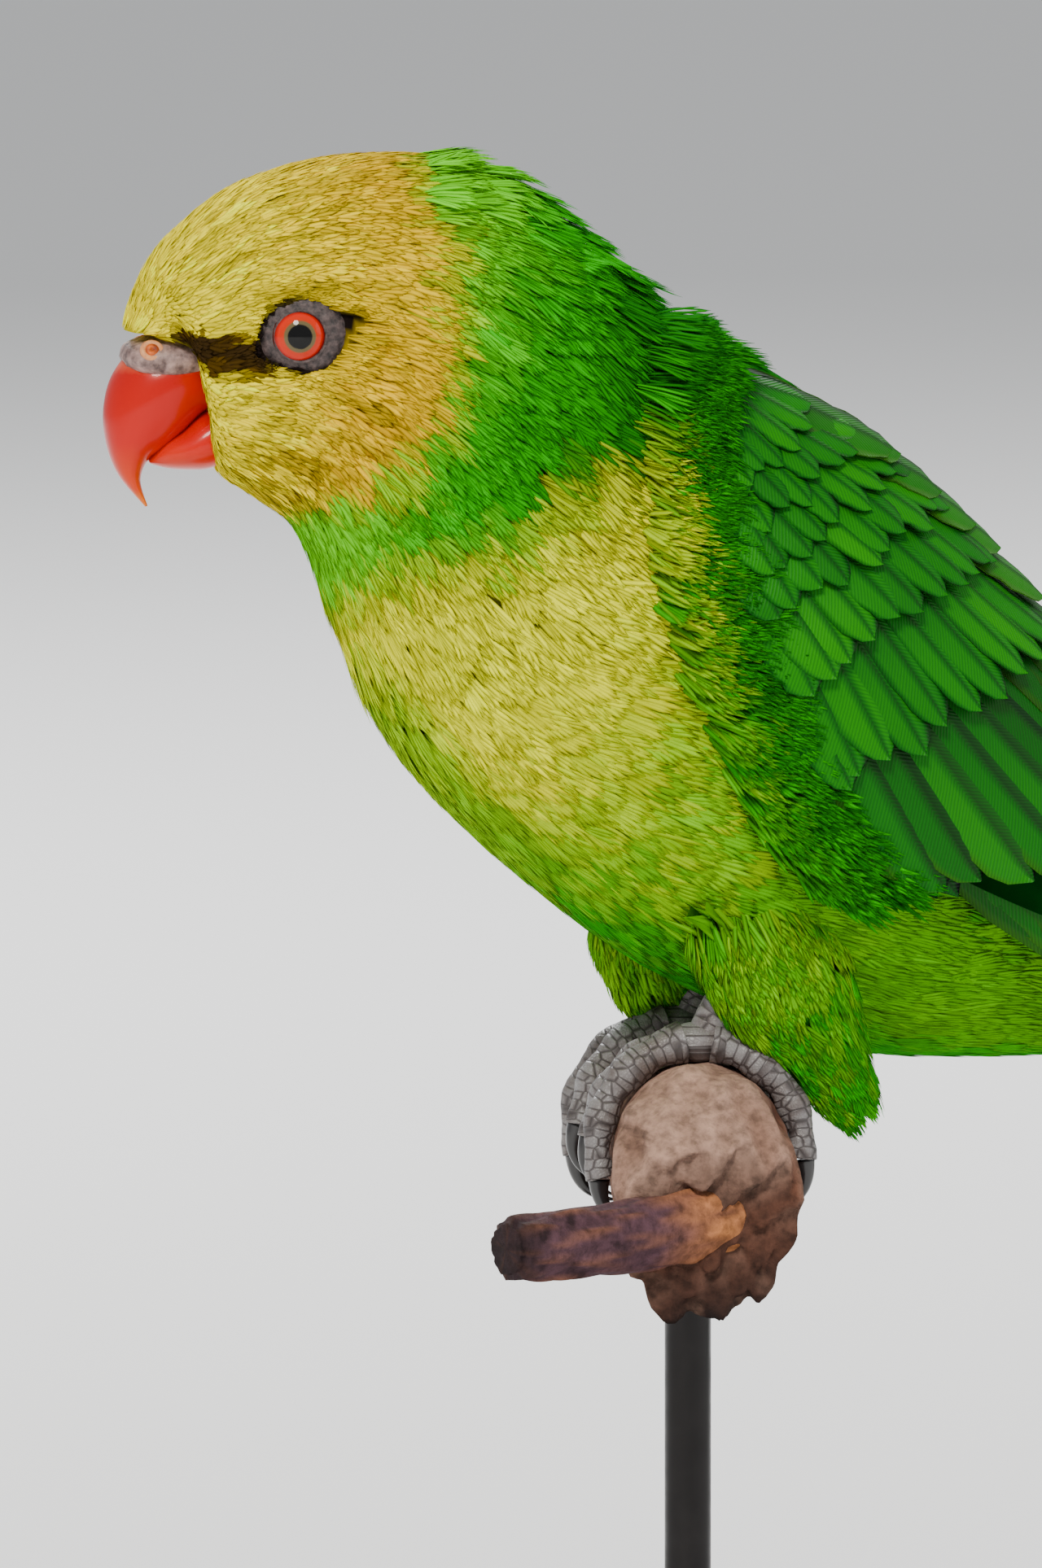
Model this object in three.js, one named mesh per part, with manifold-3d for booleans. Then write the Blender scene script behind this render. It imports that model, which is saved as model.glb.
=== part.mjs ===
// A lorikeet perched on a short cut branch over a museum stand, at life size.
// Millimetres, +Z up. The bird faces -X and its left side is towards -Y.
// The bird's own frame has its origin on the branch's axis, midway between the feet.
import * as THREE from "three";
import { mergeVertices } from "three/addons/utils/BufferGeometryUtils.js";
import Module from "manifold-3d";

const wasm = await Module();
wasm.setup();

// Driving sizes
const GAP = 0.4; // free space left between neighbouring pieces
const perchRadius = 10;
const perchHeight = 76; // branch axis above the floor
const perchAt = [-10, 0, perchHeight];
const base = { radius: 54, thick: 7, chamfer: 1.2, sides: 48 };
const rod = { radius: 2.6, sides: 18 };
const headTurn = 18; // degrees, to the bird's right
const neckPivot = -22.6; // x of the upright line that the head turns about
// out is how far the eye's centre and the lids' ring stand from the mid-plane
const eye = { at: [-47.0, 0, 92.0], out: 11.2, radius: 4.0 };
const lid = { radius: 3.5, tube: 0.75, out: 13.4, forward: 6 };
const tailPitch = 44; // degrees below level
const feetApart = 22;

// The body in side view: where its back and front outlines lie, its half width and its turn
const body = [
  { name: "brow", back: [-65.6, 93.7], front: [-60.6, 92.4], half: 3.4, turn: 18 },
  { name: "forehead", back: [-63.5, 97.7], front: [-55.9, 86.5], half: 7.2, turn: 18 },
  { name: "eye_front", back: [-59.7, 102.9], front: [-55.3, 76.9], half: 10.8, turn: 18 },
  { name: "eye", back: [-52.3, 108.2], front: [-51.6, 73.6], half: 13.6, turn: 18 },
  { name: "crown", back: [-42.5, 111.0], front: [-47.0, 70.4], half: 14.8, turn: 18 },
  { name: "hindcrown", back: [-32.4, 111.3], front: [-44.7, 66.6], half: 15.6, turn: 16.5 },
  { name: "nape", back: [-22.8, 109.0], front: [-43.1, 61.8], half: 17.2, turn: 13 },
  { name: "hindneck", back: [-13.6, 102.2], front: [-40.6, 55.3], half: 19.6, turn: 8.5 },
  { name: "mantle", back: [-4.7, 94.3], front: [-36.9, 47.3], half: 22.6, turn: 4 },
  { name: "shoulder", back: [6.1, 87.9], front: [-30.3, 39.2], half: 25.0, turn: 1 },
  { name: "chest", back: [17.1, 81.1], front: [-20.6, 30.6], half: 26.0, turn: 0 },
  { name: "midback", back: [26.8, 73.4], front: [-8.2, 21.5], half: 25.6, turn: 0 },
  { name: "belly", back: [35.6, 63.4], front: [5.1, 14.7], half: 24.0, turn: 0 },
  { name: "flank", back: [44.4, 53.8], front: [19.8, 9.2], half: 20.6, turn: 0 },
  { name: "rump", back: [53.3, 42.9], front: [35.6, 7.9], half: 16.0, turn: 0 },
  { name: "vent", back: [61.2, 32.0], front: [49.8, 7.4], half: 11.4, turn: 0 },
  { name: "tail_root", back: [68.4, 22.5], front: [61.1, 5.2], half: 8.2, turn: 0 },
];

const degrees = Math.PI / 180;
const mix = (a, b, s) => a + (b - a) * s;
const mix2 = (a, b, s) => [mix(a[0], b[0], s), mix(a[1], b[1], s)];
const clamp = (x, low, high) => Math.min(high, Math.max(low, x));

// Small seeded draws, so that every build is the same
function seeded(seed) {
  let state = seed >>> 0;
  return () => {
    state = (Math.imul(state, 1664525) + 1013904223) >>> 0;
    return state / 4294967296;
  };
}

// A smooth value between the rows of a table, where t counts rows
function along(values, t) {
  const last = values.length - 1;
  const i = clamp(Math.floor(t), 0, last - 1);
  const s = t - i;
  const [p0, p1, p2, p3] = [i - 1, i, i + 1, i + 2].map((k) => values[clamp(k, 0, last)]);
  return (
    0.5 *
    (2 * p1 +
      (p2 - p0) * s +
      (2 * p0 - 5 * p1 + 4 * p2 - p3) * s * s +
      (3 * p1 - p0 - 3 * p2 + p3) * s * s * s)
  );
}

// A smooth value at u from rows of [u, value, ...]
function tabled(rows, column, u) {
  let i = 0;
  while (i < rows.length - 2 && u > rows[i + 1][0]) i += 1;
  const s = (u - rows[i][0]) / (rows[i + 1][0] - rows[i][0]);
  return along(rows.map((row) => row[column]), i + s);
}

// Closed solids from rings of points: each ring is a list of [x, y, z], and the ends are closed by fans
function ringsToGeometry(rings) {
  const sides = rings[0].length;
  const points = rings.flat();
  const faces = [];
  const centre = (ring) => [0, 1, 2].map((k) => ring.reduce((sum, p) => sum + p[k], 0) / sides);
  for (let r = 0; r < rings.length - 1; r += 1) {
    for (let i = 0; i < sides; i += 1) {
      const j = (i + 1) % sides;
      const [a, b, c, d] = [r * sides + i, r * sides + j, (r + 1) * sides + j, (r + 1) * sides + i];
      faces.push(a, b, c, a, c, d);
    }
  }
  const first = points.push(centre(rings[0])) - 1;
  const last = points.push(centre(rings[rings.length - 1])) - 1;
  const end = (rings.length - 1) * sides;
  for (let i = 0; i < sides; i += 1) {
    const j = (i + 1) % sides;
    faces.push(first, j, i, last, end + i, end + j);
  }
  const geometry = new THREE.BufferGeometry();
  geometry.setAttribute("position", new THREE.Float32BufferAttribute(points.flat(), 3));
  geometry.setIndex(faces);
  return geometry;
}

// three.js geometry to a manifold-3d solid, facing out, and back
function solid(geometry) {
  const bare = geometry.clone();
  bare.deleteAttribute("normal");
  bare.deleteAttribute("uv");
  const merged = mergeVertices(bare, 1e-4);
  const triVerts = new Uint32Array(merged.index.array);
  const make = () =>
    new wasm.Manifold(
      new wasm.Mesh({ numProp: 3, vertProperties: merged.attributes.position.array, triVerts }),
    );
  const made = make();
  if (made.volume() > 0) return made;
  for (let i = 0; i < triVerts.length; i += 3) {
    [triVerts[i + 1], triVerts[i + 2]] = [triVerts[i + 2], triVerts[i + 1]];
  }
  return make();
}

// The one body of a cut shape that is kept, without loose crumbs or sealed hollows
function largest(shape) {
  const pieces = shape.decompose().filter((piece) => piece.volume() > 0);
  return pieces.reduce((best, piece) => (piece.volume() > best.volume() ? piece : best));
}

const simplifyTo = 0.04; // edges and slivers that matter less than this are merged away after the cuts

function toGeometry(shape) {
  const mesh = largest(largest(shape).simplify(simplifyTo)).getMesh();
  const count = mesh.vertProperties.length / mesh.numProp;
  const xyz = new Float32Array(count * 3);
  for (let i = 0; i < count; i += 1) {
    xyz.set(mesh.vertProperties.subarray(i * mesh.numProp, i * mesh.numProp + 3), i * 3);
  }
  const geometry = new THREE.BufferGeometry();
  geometry.setAttribute("position", new THREE.BufferAttribute(xyz, 3));
  geometry.setIndex(new THREE.BufferAttribute(new Uint32Array(mesh.triVerts), 1));
  geometry.computeVertexNormals();
  return geometry;
}

const joined = (shapes) => wasm.Manifold.union(shapes);

// Side-view stations to rings. Each station has a back and a front point in x and z, and a half width.
// grow swells the piece all round, so that a neighbour cut by it is left GAP clear.
function stationRings(stations, { from = 0, to, rings, sides, grow = 0 }) {
  const end = to ?? stations.length - 1;
  const column = (key, k) => stations.map((row) => (k === undefined ? row[key] : row[key][k]));
  const made = [];
  for (let r = 0; r <= rings; r += 1) {
    const t = mix(from, end, r / rings);
    const back = [along(column("back", 0), t), along(column("back", 1), t)];
    const front = [along(column("front", 0), t), along(column("front", 1), t)];
    const half = along(column("half"), t) + grow;
    const turn = stations[0].turn === undefined ? 0 : along(column("turn"), t);
    const middle = mix2(back, front, 0.5);
    const chord = [(back[0] - front[0]) / 2, (back[1] - front[1]) / 2];
    const stretch = 1 + grow / Math.hypot(...chord);
    made.push({ middle, chord: [chord[0] * stretch, chord[1] * stretch], half, turn });
  }
  if (grow) {
    for (const [at, next] of [[0, 1], [rings, rings - 1]]) {
      const step = [0, 1].map((k) => made[at].middle[k] - made[next].middle[k]);
      const length = Math.hypot(...step);
      made[at].middle = made[at].middle.map((value, k) => value + (step[k] / length) * grow);
    }
  }
  return made.map(({ middle, chord, half, turn }) => {
    const ring = [];
    for (let i = 0; i < sides; i += 1) {
      const angle = (i / sides) * 2 * Math.PI;
      const x = middle[0] + chord[0] * Math.cos(angle);
      const z = middle[1] + chord[1] * Math.cos(angle);
      ring.push(turned([x, -half * Math.sin(angle), z], turn));
    }
    return ring;
  });
}

// The head's turn, about the upright line through the neck
function turned([x, y, z], turn = headTurn) {
  const angle = -turn * degrees;
  const dx = x - neckPivot;
  return [
    neckPivot + dx * Math.cos(angle) - y * Math.sin(angle),
    dx * Math.sin(angle) + y * Math.cos(angle),
    z,
  ];
}

function turnGeometry(geometry) {
  geometry.translate(-neckPivot, 0, 0);
  geometry.rotateZ(-headTurn * degrees);
  return geometry.translate(neckPivot, 0, 0);
}

const lofted = (stations, options) => solid(ringsToGeometry(stationRings(stations, options)));

// Head, neck and torso: one form parted by thin cuts
const headEnd = 4.7;
const neckEnd = 8.2;
const lap = 0.1; // station rows that a loft reaches back into its neighbour before the cut
const bodySides = 24;
const headLoft = (grow = 0) => lofted(body, { to: headEnd, rings: 8, sides: bodySides, grow });
const neckLoft = (grow = 0) =>
  lofted(body, { from: headEnd - lap, to: neckEnd, rings: 6, sides: bodySides, grow });
const torsoLoft = (grow = 0) =>
  lofted(body, { from: neckEnd - lap, rings: 12, sides: bodySides, grow });
const makeNeck = () => neckLoft().subtract(headLoft(GAP));
const makeTorso = () => torsoLoft().subtract(neckLoft(GAP));

// Bill and cere, in side view from the eye's centre, before the head's turn
const fromEye = (rows) =>
  rows.map(([back, front, half]) => ({
    back: [eye.at[0] + back[0], eye.at[2] + back[1]],
    front: [eye.at[0] + front[0], eye.at[2] + front[1]],
    half,
    turn: headTurn,
  }));

const upperRows = fromEye([
  [[-11.4, -2.2], [-6.0, -7.2], 4.3],
  [[-16.8, -2.4], [-9.4, -9.4], 5.0],
  [[-19.4, -4.9], [-11.6, -11.6], 5.0],
  [[-20.5, -8.6], [-13.5, -13.3], 4.4],
  [[-20.3, -12.6], [-15.5, -14.6], 3.3],
  [[-18.9, -16.3], [-16.4, -17.0], 1.8],
  [[-15.9, -19.9], [-15.6, -19.8], 0.3],
]);
const lowerRows = fromEye([
  [[-6.0, -8.6], [-5.8, -14.6], 4.0],
  [[-9.6, -10.4], [-8.8, -15.7], 4.4],
  [[-11.8, -12.2], [-11.4, -15.8], 4.1],
  [[-13.9, -13.4], [-13.6, -15.6], 3.2],
  [[-15.6, -14.5], [-15.4, -15.1], 1.3],
]);
const cereRows = fromEye([
  [[-10.6, -0.6], [-9.6, -5.6], 5.2],
  [[-15.0, -0.7], [-12.6, -6.2], 5.6],
  [[-18.0, -1.6], [-16.0, -5.6], 4.9],
  [[-19.4, -3.0], [-18.4, -4.6], 2.2],
]);
const nostril = { at: [-16.2, -2.5], out: 4.1, radius: 1.0, rim: 0.4, lean: 50, depth: 3 };

const upperLoft = (grow = 0) => lofted(upperRows, { rings: 9, sides: 14, grow });
const lowerLoft = (grow = 0) => lofted(lowerRows, { rings: 6, sides: 12, grow });
const cereLoft = (grow = 0) => lofted(cereRows, { rings: 4, sides: 14, grow });

// A ball for the eye, a ring for its lids, and a nostril, on one side of the head
function eyeBall(side, grow = 0) {
  const ball = new THREE.SphereGeometry(eye.radius + grow, 16, 10);
  return solid(turnGeometry(ball.translate(eye.at[0], side * eye.out, eye.at[2])));
}

function lidRing(side) {
  const ring = new THREE.TorusGeometry(lid.radius, lid.tube, 6, 18);
  ring.rotateX(Math.PI / 2);
  ring.rotateZ(-side * lid.forward * degrees);
  return solid(turnGeometry(ring.translate(eye.at[0], side * lid.out, eye.at[2])));
}

function nostrilRim(side) {
  const ring = new THREE.TorusGeometry(nostril.radius, nostril.rim, 5, 12);
  ring.rotateX(Math.PI / 2 + side * nostril.lean * degrees);
  ring.translate(eye.at[0] + nostril.at[0], side * nostril.out, eye.at[2] + nostril.at[1]);
  return solid(turnGeometry(ring));
}

function nostrilPit(side) {
  const pit = new THREE.CylinderGeometry(nostril.radius * 0.7, nostril.radius * 0.5, nostril.depth, 10);
  pit.rotateX(side * nostril.lean * degrees);
  pit.translate(eye.at[0] + nostril.at[0], side * nostril.out, eye.at[2] + nostril.at[1]);
  return solid(turnGeometry(pit));
}

const sides = { left: -1, right: 1 };

function makeHead() {
  const pieces = [headLoft(), ...Object.values(sides).map(lidRing)];
  const cuts = [upperLoft(GAP), lowerLoft(GAP), cereLoft(GAP)];
  cuts.push(...Object.values(sides).map((side) => eyeBall(side, GAP)));
  return joined(pieces).subtract(joined(cuts));
}

function makeCere() {
  const rims = Object.values(sides).map(nostrilRim);
  const pits = Object.values(sides).map(nostrilPit);
  return joined([cereLoft(), ...rims]).subtract(joined([upperLoft(GAP), lowerLoft(GAP), ...pits]));
}

// A thin closed sheet from two grids of points, split into triangles alike on both faces
function sheetToGeometry(top, bottom) {
  const rows = top.length;
  const columns = top[0].length;
  const points = [...top.flat(), ...bottom.flat()];
  const at = (r, c, under) => under * rows * columns + r * columns + c;
  const faces = [];
  const quad = (a, b, c, d) => faces.push(a, b, c, a, c, d);
  for (let r = 0; r < rows - 1; r += 1) {
    for (let c = 0; c < columns - 1; c += 1) {
      quad(at(r, c, 0), at(r, c + 1, 0), at(r + 1, c + 1, 0), at(r + 1, c, 0));
      const [a, b] = [at(r, c, 1), at(r + 1, c + 1, 1)];
      faces.push(a, b, at(r, c + 1, 1), a, at(r + 1, c, 1), b);
    }
    quad(at(r, 0, 1), at(r, 0, 0), at(r + 1, 0, 0), at(r + 1, 0, 1));
    const end = columns - 1;
    quad(at(r, end, 0), at(r, end, 1), at(r + 1, end, 1), at(r + 1, end, 0));
  }
  for (let c = 0; c < columns - 1; c += 1) {
    quad(at(0, c, 1), at(0, c + 1, 1), at(0, c + 1, 0), at(0, c, 0));
    const end = rows - 1;
    quad(at(end, c, 0), at(end, c + 1, 0), at(end, c + 1, 1), at(end, c, 1));
  }
  const geometry = new THREE.BufferGeometry();
  geometry.setAttribute("position", new THREE.Float32BufferAttribute(points.flat(), 3));
  geometry.setIndex(faces);
  return geometry;
}

// How a feather's width runs from root to tip, as shares of its full width
const featherForms = {
  covert: [[0, 0.8], [0.5, 1], [0.84, 0.85], [1, 0.36]],
  flight: [[0, 0.6], [0.4, 1], [0.82, 0.82], [1, 0.24]],
};

// A feather reaches its full height a little before its tip
const featherRise = 1.15;

// One feather on a mapped surface: point(u, v, h) gives its place. root and tip are [u, v].
// low and high are its underside's height at root and tip.
// roll lifts its outer edge over its neighbour, and bend sways it sideways between root and tip.
// A feather that lies wholly on the core is solid down to the height sunk.
function feather(point, spec) {
  const { root, tip, width, low, high, thick, roll = 0, form = "covert", bend = 0, sunk } = spec;
  const along2 = [tip[0] - root[0], tip[1] - root[1]];
  const length = Math.hypot(...along2);
  const across = [-along2[1] / length, along2[0] / length];
  const top = [];
  const bottom = [];
  for (const [s, share] of featherForms[form]) {
    const sway = bend * Math.sin(Math.PI * s);
    const base = mix(low, high, Math.min(1, s * featherRise));
    const faces = [-1, 1].map((edge) => {
      const off = (edge * width * share) / 2 + sway;
      const u = root[0] + along2[0] * s + across[0] * off;
      const v = root[1] + along2[1] * s + across[1] * off;
      const h = base - edge * roll * share;
      return [point(u, v, h + thick), point(u, v, sunk ?? h)];
    });
    top.push(faces.map((pair) => pair[0]));
    bottom.push(faces.map((pair) => pair[1]));
  }
  return solid(sheetToGeometry(top, bottom));
}

// A row of like feathers between two lines of roots and tips, each a little its own
function featherRow(point, { count, roots, tips, draw, spread = 0.6, high, climb = 0, ...rest }) {
  const made = [];
  for (let i = 0; i < count; i += 1) {
    const s = count === 1 ? 0 : i / (count - 1);
    const root = tabledPair(roots, s);
    const tip = tabledPair(tips, s);
    tip[0] += (draw() - 0.5) * 2 * spread;
    tip[1] += (draw() - 0.5) * spread;
    made.push(feather(point, { ...rest, root, tip, high: high + climb * i }));
  }
  return made;
}

// A place along a line of [u, v] points, at share s of its points
function tabledPair(line, s) {
  const t = s * (line.length - 1);
  return [0, 1].map((k) => along(line.map((p) => p[k]), t));
}

// The folded wing's own map. u runs from the wrist towards the wing tip and v up from the wing's mid-line.
// Rows: u, height of the mid-line over the axis, upper radius, lower radius, reach from the mid-plane
const wingAxis = { from: [-16, 66], pitch: 45 };
const wingShape = [
  [-8, 6.5, 22, 26, 22.6],
  [0, 5, 26, 30, 25.8],
  [20, 6, 28, 30, 27.9],
  [45, 7, 27, 29, 27.2],
  [70, 11.5, 21.5, 24, 22.8],
  [95, 17, 14, 17, 16.6],
  [120, 20, 10.5, 12, 11.4],
  [145, 21.5, 9, 9, 8.0],
];

function wingPoint(side) {
  const pitch = wingAxis.pitch * degrees;
  const [ax, az] = wingAxis.from;
  return (u, v, h) => {
    const [rise, upper, lower, reach] = [1, 2, 3, 4].map((column) => tabled(wingShape, column, u));
    const angle = Math.PI / 2 - v / ((upper + reach) / 2);
    const radius = (v > 0 ? upper : lower) + h;
    const up = rise + radius * Math.cos(angle);
    return [
      ax + u * Math.cos(pitch) + up * Math.sin(pitch),
      side * (reach + h) * Math.sin(angle),
      az - u * Math.sin(pitch) + up * Math.cos(pitch),
    ];
  };
}

// The wing's core, from which the feathers grow: its lower and upper edges as [u, v]
const coreLower = [[-5, 9], [2, 5.5], [12, 1], [22, -4], [34, -8], [46, -7], [62, -4], [78, 0]];
const coreUpper = [[-5, 17], [2, 25], [12, 28.5], [22, 29.5], [34, 29], [46, 26], [62, 20], [78, 11]];
const core = { under: -5, over: 1.0, rim: 0.2, columns: 6 };

function wingCore(point) {
  const grids = [core.over, core.under].map((h) =>
    coreLower.map((low, r) => {
      const line = [];
      for (let c = 0; c < core.columns; c += 1) {
        const [u, v] = mix2(low, coreUpper[r], c / (core.columns - 1));
        const atRim = c === 0 || c === core.columns - 1;
        line.push(point(u, v, h > 0 && atRim ? core.rim : h));
      }
      return line;
    }),
  );
  return solid(sheetToGeometry(...grids));
}

// Feather rows of the folded wing, from the flight feathers up to the small coverts and the scapulars
const wingRows = [
  { count: 6, roots: [[36, -5], [42, 8]], tips: [[142, 4], [120, 6.5], [99, 13]], width: 10.5,
    form: "flight", low: -0.4, high: 0.2, climb: 0.5, thick: 0.6, roll: 0.1, bend: -1.2, spread: 0.8 },
  { count: 6, roots: [[14, -2], [26, 18]], tips: [[47, -9], [62, 1], [86, 16]], width: 11, form: "flight",
    low: 0.3, high: 2.4, climb: 0.12, thick: 0.65, roll: 0.35, bend: 0.5, spread: 0.8 },
  { count: 2, roots: [[26, 20], [30, 24]], tips: [[81, 20], [70, 24.5]], width: 10.5, form: "flight",
    low: 0.6, high: 3.3, climb: 0.3, thick: 0.65, roll: 0.35, spread: 0.8 },
  { count: 3, roots: [[8, 4], [14, 0]], tips: [[38, -11.5], [50, -8]], width: 6.5,
    low: 0.2, high: 1.2, climb: 0.35, thick: 0.65, roll: 0.2 },
  { count: 6, roots: [[10, 0], [22, 24]], tips: [[33, -7], [37, 8], [46, 25]], width: 9,
    low: 0.2, high: 3.2, thick: 0.65, roll: 0.4, sunk: -1 },
  { count: 5, roots: [[4, 3], [12, 25]], tips: [[20, -2.5], [24, 12], [30, 26]], width: 9.6,
    low: 0.2, high: 3.4, thick: 0.65, roll: 0.4, sunk: -1 },
  { count: 4, roots: [[-3, 8], [2, 25]], tips: [[8, 3], [12, 13], [16, 26]], width: 10,
    low: 0.1, high: 3.0, thick: 0.65, roll: 0.4, sunk: -1 },
  { count: 4, roots: [[-2, 24], [14, 28], [38, 26]], tips: [[18, 27], [36, 29], [64, 22]], width: 11,
    low: 0.1, high: 3.3, thick: 0.7, roll: 0.3, sunk: 0 },
];

function makeWing(side) {
  const point = wingPoint(side);
  const draw = seeded(side > 0 ? 11 : 7);
  const rows = wingRows.flatMap((row) => featherRow(point, { ...row, draw }));
  const shape = joined([wingCore(point), ...rows]);
  return shape.subtract(joined([torsoLoft(GAP), neckLoft(GAP)])).subtract(tailEnvelope());
}

// The tail's own map: s runs from its root to its tip, y across it and n up from it
const tailRoot = [64.8, 13.9];
function tailPoint(s, y, n) {
  const pitch = tailPitch * degrees;
  return [
    tailRoot[0] + s * Math.cos(pitch) + n * Math.sin(pitch),
    y,
    tailRoot[1] - s * Math.sin(pitch) + n * Math.cos(pitch),
  ];
}

const tailCoreRows = [
  { back: [68.85, 22.2], front: [61.5, 5.0], half: 8.1 },
  { back: [75.5, 13.5], front: [69.5, 0.5], half: 7.8 },
  { back: [84.0, 3.2], front: [80.0, -4.5], half: 7.0 },
  { back: [93.5, -7.0], front: [91.3, -10.2], half: 6.0 },
];
const tailCoreLoft = (grow = 0) => lofted(tailCoreRows, { rings: 5, sides: 18, grow });

// Twelve tail feathers in pairs, the middle pair longest and uppermost
const tailPairs = [
  { length: 98, root: 0.8, tip: 1.7, level: 3.2 },
  { length: 93, root: 1.8, tip: 3.8, level: 2.8 },
  { length: 85, root: 2.8, tip: 5.7, level: 2.4 },
  { length: 76, root: 3.7, tip: 7.4, level: 2.0 },
  { length: 66, root: 4.5, tip: 8.9, level: 1.6 },
  { length: 56, root: 5.2, tip: 10.2, level: 1.2 },
];
const tailFeather = { width: 9, thick: 0.6, rootAt: 14 };
const tailArch = 0.02; // how fast the tail falls away to its sides
const leftOverRight = 0.2; // the left feathers lie this much above the right ones
const tailCoverts = [
  { count: 3, roots: [[0, -4.5], [0, 4.5]], tips: [[24, -4.6], [24, 4.6]], width: 8.5,
    low: 6.6, high: 6.0 },
  { count: 3, roots: [[8, -4], [8, 4]], tips: [[38, -4.6], [42, 0], [38, 4.6]], width: 8,
    low: 5.0, high: 4.7 },
];
const underCoverts = [
  { count: 2, roots: [[4, -3], [4, 3]], tips: [[32, -4], [32, 4]], width: 10, low: -4.6, high: -1.6 },
  { count: 3, roots: [[14, -4], [14, 4]], tips: [[48, -4], [53, 0], [48, 4]], width: 7.5,
    low: -1.6, high: 0.2 },
];

function makeTail() {
  const draw = seeded(23);
  const pieces = [tailCoreLoft()];
  const roof = (s, y, n) => tailPoint(s, y, n - tailArch * y * y);
  for (const side of Object.values(sides)) {
    for (const { length, root, tip, level } of tailPairs) {
      const low = level + (side > 0 ? 0 : leftOverRight);
      pieces.push(
        feather(roof, {
          ...tailFeather, root: [tailFeather.rootAt, side * root], tip: [length, side * tip],
          form: "flight", low, high: low,
        }),
      );
    }
  }
  for (const row of [...tailCoverts, ...underCoverts]) {
    pieces.push(...featherRow(roof, { ...row, thick: 0.65, draw, roll: 0 }));
  }
  return joined(pieces).subtract(torsoLoft(GAP));
}

// The room that the tail takes, kept free by the wings, as rows of s, half width, top and underside
const tailRoom = [
  [-4, 10.4, 9.6, -9],
  [24, 12.2, 7.6, -6],
  [50, 14.2, 5.4, -4.6],
  [70, 13.2, 4.6, -3.6],
  [100, 12, 4.4, -2],
];
function tailEnvelope() {
  const rings = tailRoom.map(([s, half, top, low]) => {
    const right = [[half, low], [half, top * 0.6], [half * 0.5, top]];
    const left = right.map(([y, n]) => [-y, n]).reverse();
    return [...right, ...left].map(([y, n]) => tailPoint(s, y, n));
  });
  return solid(ringsToGeometry(rings));
}

// A bent round piece along a path of points, with a radius at each share of its length
function tube(path, radiusAt, { steps, sides: around = 10, grow = 0, squash = 1 }) {
  const curve = new THREE.CatmullRomCurve3(path.map((p) => new THREE.Vector3(...p)));
  const frames = curve.computeFrenetFrames(steps, false);
  const rings = [];
  for (let r = 0; r <= steps; r += 1) {
    const centre = curve.getPointAt(r / steps);
    const radius = radiusAt(r / steps) + grow;
    const ring = [];
    for (let i = 0; i < around; i += 1) {
      const angle = (i / around) * 2 * Math.PI;
      const p = centre.clone();
      p.addScaledVector(frames.normals[r], Math.cos(angle) * radius * squash);
      p.addScaledVector(frames.binormals[r], Math.sin(angle) * radius);
      ring.push(p.toArray());
    }
    rings.push(ring);
  }
  return solid(ringsToGeometry(rings));
}

// The perch crosses under the bird at a slant, so it and the feet are swung about the upright axis
const perchSwing = -20; // degrees
function swung([x, y, z]) {
  const angle = perchSwing * degrees;
  return [x * Math.cos(angle) - y * Math.sin(angle), x * Math.sin(angle) + y * Math.cos(angle), z];
}

// The perch is a cut length of branch whose near end droops, with the stub of a twig
const perch = { near: -29, far: 24, rings: 11, sides: 16, droopFrom: 15.5, droop: 0.058 };
const knobs = { high: 0.4, from: 16, over: 8, slow: 0.23, quick: 0.31 }; // round between the feet
const twig = { path: [[-6, -22, -6.5], [-19, -24, -8], [-35, -27, -8.5]], from: 4.6, to: 3.6, wave: 0.4 };

const perchSag = (y) => -perch.droop * Math.max(0, -y - perch.droopFrom) ** 2;

function perchSolid(grow = 0) {
  const rings = [];
  for (let r = 0; r <= perch.rings; r += 1) {
    const y = mix(perch.near - grow, perch.far + grow, r / perch.rings);
    const free = clamp((Math.abs(y) - knobs.from) / knobs.over, 0, 1);
    const ring = [];
    for (let i = 0; i < perch.sides; i += 1) {
      const angle = (i / perch.sides) * 2 * Math.PI;
      const knob = Math.sin(3 * angle + y * knobs.quick) + Math.sin(2 * angle - y * knobs.slow);
      const radius = perchRadius + grow + free * knobs.high * knob;
      ring.push(swung([radius * Math.sin(angle), y, perchSag(y) + radius * Math.cos(angle)]));
    }
    rings.push(ring);
  }
  return solid(ringsToGeometry(rings));
}

function makePerch() {
  const radiusAt = (s) => mix(twig.from, twig.to, s) + twig.wave * Math.sin(9 * s);
  const stub = tube(twig.path, radiusAt, { steps: 6 });
  return joined([perchSolid(), stub]);
}

// Feet: two toes forward and two back, each bent round the perch, with a claw on each
const toeThick = [2.1, 1.5]; // radius at root and tip
const toes = [
  { name: "inner_front", ahead: 1, sweep: 84, splay: 3.4 },
  { name: "outer_front", ahead: 1, sweep: 104, splay: -3.6 },
  { name: "inner_back", ahead: -1, sweep: 66, splay: 3.6 },
  { name: "outer_back", ahead: -1, sweep: 94, splay: -3.4 },
];
const claw = { sweep: 36, root: 1.25, tip: 0.25, lift: 1.1 };
const toeStart = 8; // degrees from the perch's top
const toePad = 0.22; // how far the pads swell
const spread = { at: 0.35, gain: 0.75 }; // a toe's share of its splay at its root, and how fast it grows

function roundPerch(angle, radius, y) {
  return swung([-radius * Math.sin(angle * degrees), y, radius * Math.cos(angle * degrees)]);
}

// A toe's place across the perch at share s, for a foot on one side of the bird
const footY = (side) => (side * feetApart) / 2;
const toeY = (side, toe, s) => footY(side) - side * toe.splay * Math.min(1, spread.at + spread.gain * s);

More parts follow.
